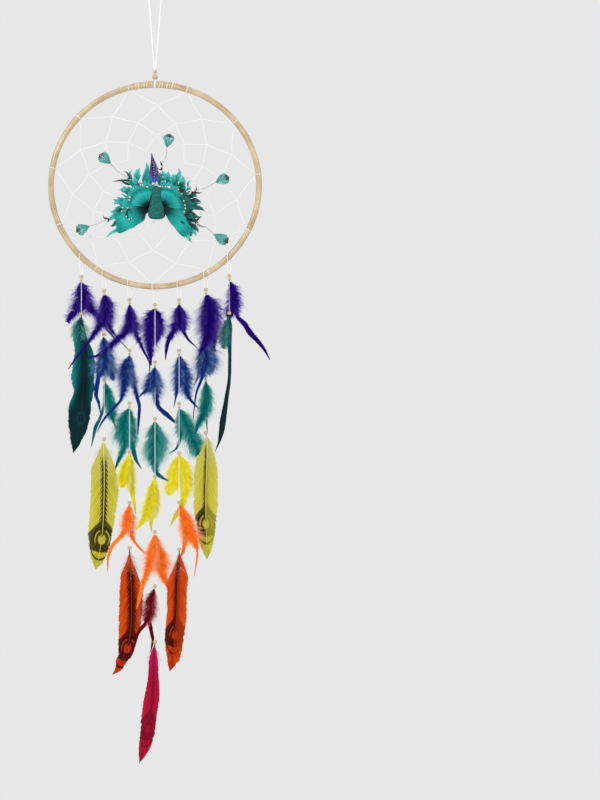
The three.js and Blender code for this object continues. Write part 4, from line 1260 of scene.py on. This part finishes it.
def make_strands():
    """Every bundle on its strand's upper or lower body, and the tail under them."""
    for number, strand in enumerate(STRANDS, 1):
        body = f"strand_{number}_upper"
        for bundle in strand["bundles"]:
            if bundle.get("joint"):
                body = f"strand_{number}_lower"
            make_bundle(strand, bundle, number, body)
        make_tail(strand, number)


# ---- peacock, in millimetres from the hoop's middle ----
def on_hoop(points):
    """Points from the hoop's middle, in the CAD's frame."""
    return np.asarray(points, float) + [0, 0, HOOP_Z]


def placed(flat, y):
    """An [x, z] point at depth y."""
    return (flat[0], y, flat[1])


# [radius, height] up the felt body, and where its foot's middle is
BODY_PROFILE = [
    (0.0, 0.0), (4.5, 0.0), (8.5, 0.8), (11.6, 3.0), (13.2, 6.5), (13.0, 11), (12.1, 18),
    (10.8, 26), (9.3, 34), (7.7, 41.5), (6.4, 46.5), (4.6, 49), (2.4, 49.8), (0.0, 50.0),
]
BODY_FOOT = (3.4, -13, -51.5)
BODY_FLATNESS = 0.69


def make_body():
    """A stuffed felt cone, flattened front to back, with a stitched seam round its side."""
    profile = smooth([(radius, 0, height) for radius, height in BODY_PROFILE], 40)
    turn = np.linspace(0, TURN, 48, endpoint=False)
    seam = 1 - 0.035 * np.exp(-((np.abs(np.sin(turn)) / 0.12) ** 2))
    wrinkle = 1 + 0.012 * np.sin(3 * turn + 0.7) + 0.008 * np.sin(7 * turn)
    radius = np.maximum(profile[:, :1], 0.02) * (seam * wrinkle)
    height = profile[:, 2:]
    crease = 1 + 0.02 * np.sin(height * 0.55)
    across = radius * crease * np.cos(turn)
    depth = radius * BODY_FLATNESS * crease * np.sin(turn)
    rows = stacked(across, depth, height) + BODY_FOOT
    piece = Piece("peacock_felt_body", "hoop", "felt", "peacock_body")
    piece.sheet(on_hoop(rows), rows, closed=True)
    made = piece.finish(MATERIALS["felt"])


BACKING_OUTLINE = [
    (-34, 0, -36), (-27, 0, -16), (-12, 0, -8), (14, 0, -8), (30, 0, -16), (37, 0, -34), (32, 0, -50),
    (16, 0, -40), (-8, 0, -40), (-24, 0, -50), (-34, 0, -36),
]
# [share of the outline, depth] of the pad's rings, from the middle of its front round to its back
BACKING_RINGS = [
    (0.004, -4.0), (0.5, -4.1), (0.97, -4.0), (1.0, -3.2), (1.0, -2.2), (0.97, -1.5), (0.5, -1.3),
    (0.004, -1.3),
]


def make_backing():
    """The felt pad behind the fans that everything is glued to."""
    outline = smooth(BACKING_OUTLINE, 73)[:-1]
    centre = outline.mean(axis=0)
    rows = np.array([centre + (outline - centre) * share + [0, y, 0] for share, y in BACKING_RINGS])
    piece = Piece("peacock_backing", "hoop", "felt")
    piece.sheet(on_hoop(rows), rows, closed=True)
    piece.finish(MATERIALS["felt"])


FAN_CENTRES = {"left": (-9.6, -34.6), "right": (13.1, -33.3)}
# Each sheet of a fan: its side, depth at the centre and at the edge, dome, jag and material, then its
# rim in [angle, reach] points.
FAN_SHEETS = [
    ("left", -15.5, -12, 5.0, 0.03, 0, [(76, 29), (90, 30), (115, 31.5), (133, 33), (147, 32), (172, 31)]),
    ("left", -14.5, -10, 5.0, 0.03, 0,
     [(165, 31), (185, 47), (196, 53), (207, 56), (218, 61), (226, 43), (237, 29), (255, 17)]),
    ("right", -15.5, -12, 5.0, 0.03, 0, [(-8, 33), (16, 29), (41, 27.5), (67, 28), (100, 27)]),
    ("right", -14.5, -10, 5.0, 0.03, 0,
     [(-72, 14), (-63, 34), (-59, 52), (-54, 58), (-42, 56), (-32, 40), (-14, 34), (0, 33)]),
    ("left", -12, -8, 2.0, 0.26, 0,
     [(68, 40), (86, 48), (100, 52), (119, 54), (140, 48), (156, 49), (168, 56), (180, 53), (194, 54)]),
    ("right", -12, -8, 2.0, 0.26, 0, [(26, 50), (44, 49), (60, 55), (75, 52), (96, 46), (112, 42)]),
    ("right", -12, -8, 2.0, 0.24, 2,
     [(-47, 62), (-40, 64), (-30, 54), (-21, 54), (-12, 54), (-5, 60), (7, 57), (19, 54), (32, 50)]),
]


def fan(piece, centre, y_centre, y_edge, dome, jag, material, rim, rng):
    """Barbs that spread from a tied centre, as one domed satin sheet. dome is how far it bulges
    forward and jag how deep its edge is cut into points."""
    angles, reaches = zip(*rim)
    size = max(reaches)
    count = max(24, int((angles[-1] - angles[0]) * 1.15))
    share = np.linspace(0, 1, count)[:, None]
    degrees = angles[0] + (angles[-1] - angles[0]) * share
    tooth = np.abs((degrees / 13 + 0.35 * np.sin(degrees * 0.21)) % 1 - 0.5) * 2
    uneven = 1 - jag * tooth**0.7 + 0.012 * rng.normal(0, 1, (count, 1))
    s = np.linspace(0.02, 1, 15)
    radius = np.interp(degrees, angles, reaches) * uneven * s
    turn = np.radians(degrees) + 0.05 * np.sin(math.pi * share) * s**2
    ripple = 0.22 * (-1.0) ** np.arange(count)[:, None] * np.sin(math.pi * s) ** 0.5
    depth = y_centre + (y_edge - y_centre) * s**1.6 - dome * np.sin(math.pi * s**0.8) + ripple
    rows = stacked(centre[0] + radius * np.cos(turn), depth, centre[1] + radius * np.sin(turn))
    tone = rng.uniform(0, 1, (count, 1))
    piece.sheet(on_hoop(rows), stacked(radius / size, share, tone), material)


# half width of a small pointed feather along its shaft, as a share of its widest
PETAL = [(0, 0.3), (0.2, 0.75), (0.42, 1), (0.62, 0.82), (0.8, 0.5), (0.93, 0.2), (1, 0.03)]
PETAL_LIFT = -3.0


def petal(piece, base, tip, width, curl, y, material, rng):
    """A small pointed feather. curl is how far its shaft bows sideways; its tip lies further forward
    than its base."""
    base, tip = np.array(base, float), np.array(tip, float)
    way = tip - base
    side = unit(np.array([-way[1], way[0]]))
    bow = ((0, 0), (0.35, 0.7), (0.7, 0.9), (1, 0))
    shaft = [placed(base + way * t + side * curl * off, y + PETAL_LIFT * t) for t, off in bow]
    spine = Spine(on_hoop(shaft))
    outline = [(v, width * share) for v, share in PETAL]
    for where in (-1, 1):
        vane(
            piece, spine, where, outline, rng, cup=-0.9, ragged=0.03, spacing=0.9, angle=30,
            material=material,
        )
    spine.shaft(piece, 0, 1, 0.35, 0.1, material)


# base, tip, half width, sideways curl and depth of each small feather round the fans
FRINGE_TEAL = [
    ((-18, 2), (-12, 34), 5.0, -3, -7), ((-26, 2), (-22, 25), 6.0, 2, -8),
    ((-30, 0), (-33, 24), 3.0, 5, -6), ((-32, -2), (-38, 14), 5.0, 2, -9),
    ((-22, -2), (-33, 10), 5.5, 0, -13), ((-36, -8), (-46, -2), 5.5, 2, -13),
    ((-40, -14), (-52, -8), 5.0, -2, -11), ((-42, -20), (-62, -21), 5.0, 3, -9),
    ((-44, -26), (-60, -30), 5.5, -3, -9), ((-48, -30), (-67, -40), 4.5, 3, -8),
    ((-50, -38), (-72, -52), 5.0, 2, -8), ((-30, -56), (-74, -80), 3.4, -3, -8),
    ((-8, -4), (-7, 20), 6.0, 0, -5), ((8, -4), (8, 19), 6.0, 0, -5), ((12, 2), (12, 22), 5.0, -1, -8),
    ((18, 2), (22, 20), 6.0, 1, -9), ((26, 2), (36, 25), 5.0, -4, -8),
    ((30, -2), (30, 16), 6.0, 2, -12), ((36, -4), (42, 14), 5.0, -2, -9),
    ((38, -6), (48, 6), 5.5, 2, -10), ((50, -4), (55, 6), 1.6, 3, -8),
    ((46, -10), (56, -6), 4.5, 2, -11), ((44, -64), (50, -84), 4.0, 2, -9),
    ((46, -62), (56, -86), 3.6, -2, -7), ((50, -60), (62, -78), 3.6, 2, -8),
    ((40, -60), (45, -80), 4.5, 0, -8),
]
FRINGE_DARK = [
    ((48, -18), (64, -18), 4.5, 2, -9), ((50, -24), (70, -27), 4.5, 2, -8),
    ((50, -32), (75, -39), 4.2, 2, -8), ((48, -38), (68, -48), 4.5, -2, -9),
    ((46, -50), (66, -58), 4.0, 2, -9), ((50, -56), (66, -72), 3.6, 2, -8),
    ((36, -4), (52, -14), 4.5, -2, -14), ((44, -44), (58, -52), 5.0, 2, -13),
    ((-30, 2), (-50, 8), 2.6, 3, -7), ((-42, -36), (-35, -44), 1.8, 3, -17),
    ((-40, -38), (-36, -52), 2.0, -3, -17), ((39, -55), (45, -62), 1.8, 2, -17),
    ((-54, -50), (-66, -62), 3.6, 2, -8), ((-46, -34), (-58, -40), 3.4, 2, -14),
    ((34, -2), (46, 2), 4.0, 0, -13),
]


def make_fans():
    """Both fans, with the small feathers round each on its own side."""
    rng = np.random.default_rng(41)
    pieces = {
        side: Piece(f"peacock_fans_{side}", "hoop", "feather_teal", f"peacock_fan_{side}")
        for side in FAN_CENTRES
    }
    for side, *sheet in FAN_SHEETS:
        fan(pieces[side], FAN_CENTRES[side], *sheet, rng)
    for material, fringe in ((1, FRINGE_TEAL), (2, FRINGE_DARK)):
        for base, *shape in fringe:
            side = "left" if base[0] < 0 else "right"
            petal(pieces[side], base, *shape, material, rng)
    for piece in pieces.values():
        piece.finish(MATERIALS["fan"], MATERIALS["fringe"], MATERIALS["fringe_dark"])


CREST_SHAFT = [(0.6, -14.5, 1), (0.1, -16.0, 12), (-0.8, -15.0, 24), (-2.6, -13.5, 37), (-4.4, -12.0, 48.4)]
CREST_OUTLINE = [(0, 2), (0.12, 4.2), (0.25, 6.3), (0.35, 7.3), (0.5, 6), (0.7, 3.4), (0.88, 1.3), (1, 0.1)]


def make_crest():
    """One pointed feather with stones down its shaft."""
    rng = np.random.default_rng(43)
    piece = Piece("peacock_crest_feather", "hoop", "crest", "peacock_crest")
    spine = Spine(on_hoop(CREST_SHAFT))
    for side in (-1, 1):
        vane(piece, spine, side, CREST_OUTLINE, rng, spacing=0.9, angle=42, cup=1.5, ragged=0.02)
    spine.shaft(piece, 0, 1, 0.5, 0.15)
    for t in np.linspace(0.06, 0.86, 11):
        p, _, _, normal = spine.at(t)
        gem(piece, p + normal * 0.5, normal, 0.85 - 0.3 * t, 0.9, rng, 1)
    piece.finish(MATERIALS["crest"], MATERIALS["gem"])


def gem(piece, centre, normal, radius, height, rng, material=0):
    """A cut stone: a small table over eight facets, each facet with its own tint of painted reflection."""
    normal = unit(np.asarray(normal, float))
    side = unit(np.cross(normal, [0.3, 0.1, 1.0]))
    up = np.cross(side, normal)
    turn = np.linspace(0, TURN, 8, endpoint=False)
    spread = side * np.cos(turn)[:, None] + up * np.sin(turn)[:, None]
    girdle = centre + spread * radius
    crown = centre + spread * radius * 0.5 + normal * height * radius
    foot = centre + spread * radius * 0.6 - normal * 0.5 * radius
    # each facet's tone is a painted reflection; the table's high tone is a painted highlight, the foot's low
    # one painted shade
    for i in range(8):
        j = (i + 1) % 8
        for low, high in ((girdle, crown), (foot, girdle)):
            facet = [low[i], low[j], high[j], high[i]]
            piece.add(facet, (0, 0, rng.uniform()), [[0, 1, 2, 3]], material)
    piece.add(crown, (0, 0, 0.85), [list(range(8))], material)
    piece.add(foot, (0, 0, 0.1), [list(range(7, -1, -1))], material)


GEMS = [
    (-48, -40), (-46.5, -35), (-41, -48), (-37, -52), (-33.5, -51), (-39.5, -35.5), (-37, -23.5), (-36, -19),
    (-31, -7), (-27, -4.5), (-20, -1.5), (-17, -1), (-10.2, -4), (-5.6, -1.2), (0.2, 1), (3.2, 0),
    (6.5, -3), (9, -3.4), (12.5, -3.6), (13, 10.5), (12.4, 4), (17, -3.6), (19.8, -3.8), (23, -4.6),
    (44, -25), (46, -31), (46.5, -36), (45, -41), (36, -8), (41, -14),
]
GEM_THREAD = [
    (-48, -40), (-46, -30), (-39, -20), (-31, -7), (-20, -1.5), (-8, -2), (3, 0), (14, -3), (24, -4.6),
    (36, -8), (42, -18), (46, -31), (45, -42),
]
# a gem's cup, in [radius as a share of the gem's, height]
GEM_CUP = [(1.12, -0.6), (1.16, 0.15), (0.95, 0.2), (0.8, -0.5), (0.4, -0.7), (0.4, -0.9)]


def before_fans(flat, y):
    """An [x, z] point y in front of the body's middle, and less so where the fans bend back."""
    return placed(flat, y + 0.035 * abs(flat[0]))


def make_gems():
    """Rhinestones in metal cups, joined by a fine thread along the fans' upper edge."""
    rng = np.random.default_rng(47)
    piece = Piece("peacock_gem_string", "hoop", "gem", "peacock_gems")
    for flat in GEMS:
        radius = rng.uniform(1.0, 1.55)
        centre = on_hoop(before_fans(flat, -19.6))
        gem(piece, centre, (rng.uniform(-0.3, 0.3), -1, rng.uniform(-0.2, 0.4)), radius, 0.75, rng)
        cup = [(radius * share, height) for share, height in GEM_CUP]
        piece.turned(centre, cup, 10, 1, axis=FRONT)
    thread = smooth([before_fans(flat, -18.4) for flat in GEM_THREAD], 90)
    piece.tube(on_hoop(thread), 0.3, 6, 1)
    piece.finish(MATERIALS["gem"], MATERIALS["metal"], smooth_shading=False)


# where each plume's wire leaves the fans, the middle of its leaf and the leaf's length, how far the
# wire bows sideways, and the tips of the two curls at its foot
PLUMES = [
    {"base": (-40, 10), "leaf": (-73, 38), "length": 21, "sag": 2, "curls": [(-62, 4), (-46, 20)]},
    {"base": (13, 32), "leaf": (21, 65), "length": 20, "sag": -2, "curls": [(9, 34), (6, 24)]},
    {"base": (58, -10), "leaf": (101, 7), "length": 21, "sag": -2, "curls": [(72, -12), (62, -2)]},
    {"base": (-72, -52), "leaf": (-106, -66), "length": 21, "sag": 1, "curls": [(-76, -46), (-70, -56)]},
    {"base": (64, -60), "leaf": (99, -80), "length": 24, "sag": 3, "curls": [(76, -63), (72, -47)]},
]
PLUME_LEAF = [(0, 0.6), (0.15, 3), (0.35, 6), (0.55, 8), (0.72, 8.5), (0.86, 7), (0.95, 4.2), (1, 1)]
# [share of the wire, radius] of its beads, and [share of the leaf, sideways] of its gems
PLUME_BEADS = [
    (0.2, 1.1), (0.28, 1.3), (0.36, 1.1), (0.42, 0.9), (0.5, 0.8), (0.58, 0.75), (0.72, 0.75), (0.86, 0.75),
]
PLUME_GEMS = [(0.5, 1.0), (0.62, -1.6), (0.74, 0.4), (0.58, 3.0), (0.38, 0.2)]


def make_plume(number, plume):
    """A thin wire with small beads on it, and a glossy drop-shaped plume at its end."""
    rng = np.random.default_rng(60 + number)
    base, leaf = np.array(plume["base"], float), np.array(plume["leaf"], float)
    way = unit(leaf - base)
    side = np.array([-way[1], way[0]])
    half = way * plume["length"] / 2
    start, tip = leaf - half, leaf + half
    middle = (base + start) / 2 + side * plume["sag"]
    ends = [placed(base - way * 12, -9), placed(base, -12), placed(middle, -14.5), placed(start, -14.4)]
    wire = smooth(ends, 30)

    piece = Piece(f"peacock_plume_{number}", "hoop", "plume", f"plume_{number}")
    piece.tube(on_hoop(wire), 0.36, 6, 1)
    for share, radius in PLUME_BEADS:
        gem(piece, on_hoop(wire[int(share * 29)]), FRONT, radius, 0.8, rng, 2)
    spine = Spine(on_hoop([placed(start, -14.4), placed(leaf, -15.6), placed(tip, -14.2)]))
    for where in (-1, 1):
        vane(piece, spine, where, PLUME_LEAF, rng, spacing=0.6, angle=60, cup=-2.5, ragged=0.04)
        vane(piece, spine, where, PLUME_LEAF, rng, spacing=0.9, angle=48, cup=2.5, ragged=0.06)
    for share, off in PLUME_GEMS:
        p, _, sideways, normal = spine.at(share)
        gem(piece, p + sideways * off + normal * 0.6, normal, 0.8, 0.8, rng, 2)
    for curl in plume["curls"]:
        petal(piece, base - way * 5, curl, 1.7, rng.uniform(-4, 4), -11, 3, rng)
        gem(piece, on_hoop(placed(curl, -14.2)), FRONT, 0.8, 0.8, rng, 2)
    piece.finish(MATERIALS["plume"], MATERIALS["metal"], MATERIALS["gem"], MATERIALS["curl"])


def make_peacock():
    make_body()
    make_backing()
    make_fans()
    make_crest()
    make_gems()
    for number, plume in enumerate(PLUMES, 1):
        make_plume(number, plume)


# ---- floor and light, in metres ----
FLOOR_HALF = 3
FLOOR_Z = -1.9
# place, size and power of each lamp, which all face LIT
LAMPS = {"key": ((-1.5, -2.2, 1.0), 1.4, 42), "fill": ((2.0, -1.8, 0.0), 1.8, 18)}
LIT = Vector((0, 0, -0.5))


def make_floor():
    corners = [(-1, -1), (1, -1), (1, 1), (-1, 1)]
    mesh = bpy.data.meshes.new("floor")
    mesh.from_pydata([(FLOOR_HALF * x, FLOOR_HALF * y, FLOOR_Z) for x, y in corners], [], [(0, 1, 2, 3)])
    floor = bpy.data.objects.new("floor", mesh)
    s = Shader("floor", 0.9)
    s.colour((244, 244, 244))
    mesh.materials.append(s.material)
    bpy.context.scene.collection.objects.link(floor)


def make_lamp(name, location, size, power):
    light = bpy.data.lights.new(name, "AREA")
    light.size = size
    light.energy = power
    made = bpy.data.objects.new(name, light)
    made.location = location
    made.rotation_euler = (LIT - Vector(location)).to_track_quat("-Z", "Y").to_euler()
    bpy.context.scene.collection.objects.link(made)


def make_stage():
    make_floor()
    world = bpy.data.worlds.new("studio")
    world.use_nodes = True
    background = world.node_tree.nodes["Background"]
    background.inputs["Color"].default_value = (1, 1, 1, 1)
    background.inputs["Strength"].default_value = 0.8
    bpy.context.scene.world = world
    for name, lamp in LAMPS.items():
        make_lamp(name, *lamp)
    bpy.context.scene.view_settings.view_transform = "Standard"


make_camera()
make_cords()
make_hanger_beads()
make_hoop()
make_binding()
make_web()
make_peacock()
make_strands()
make_stage()
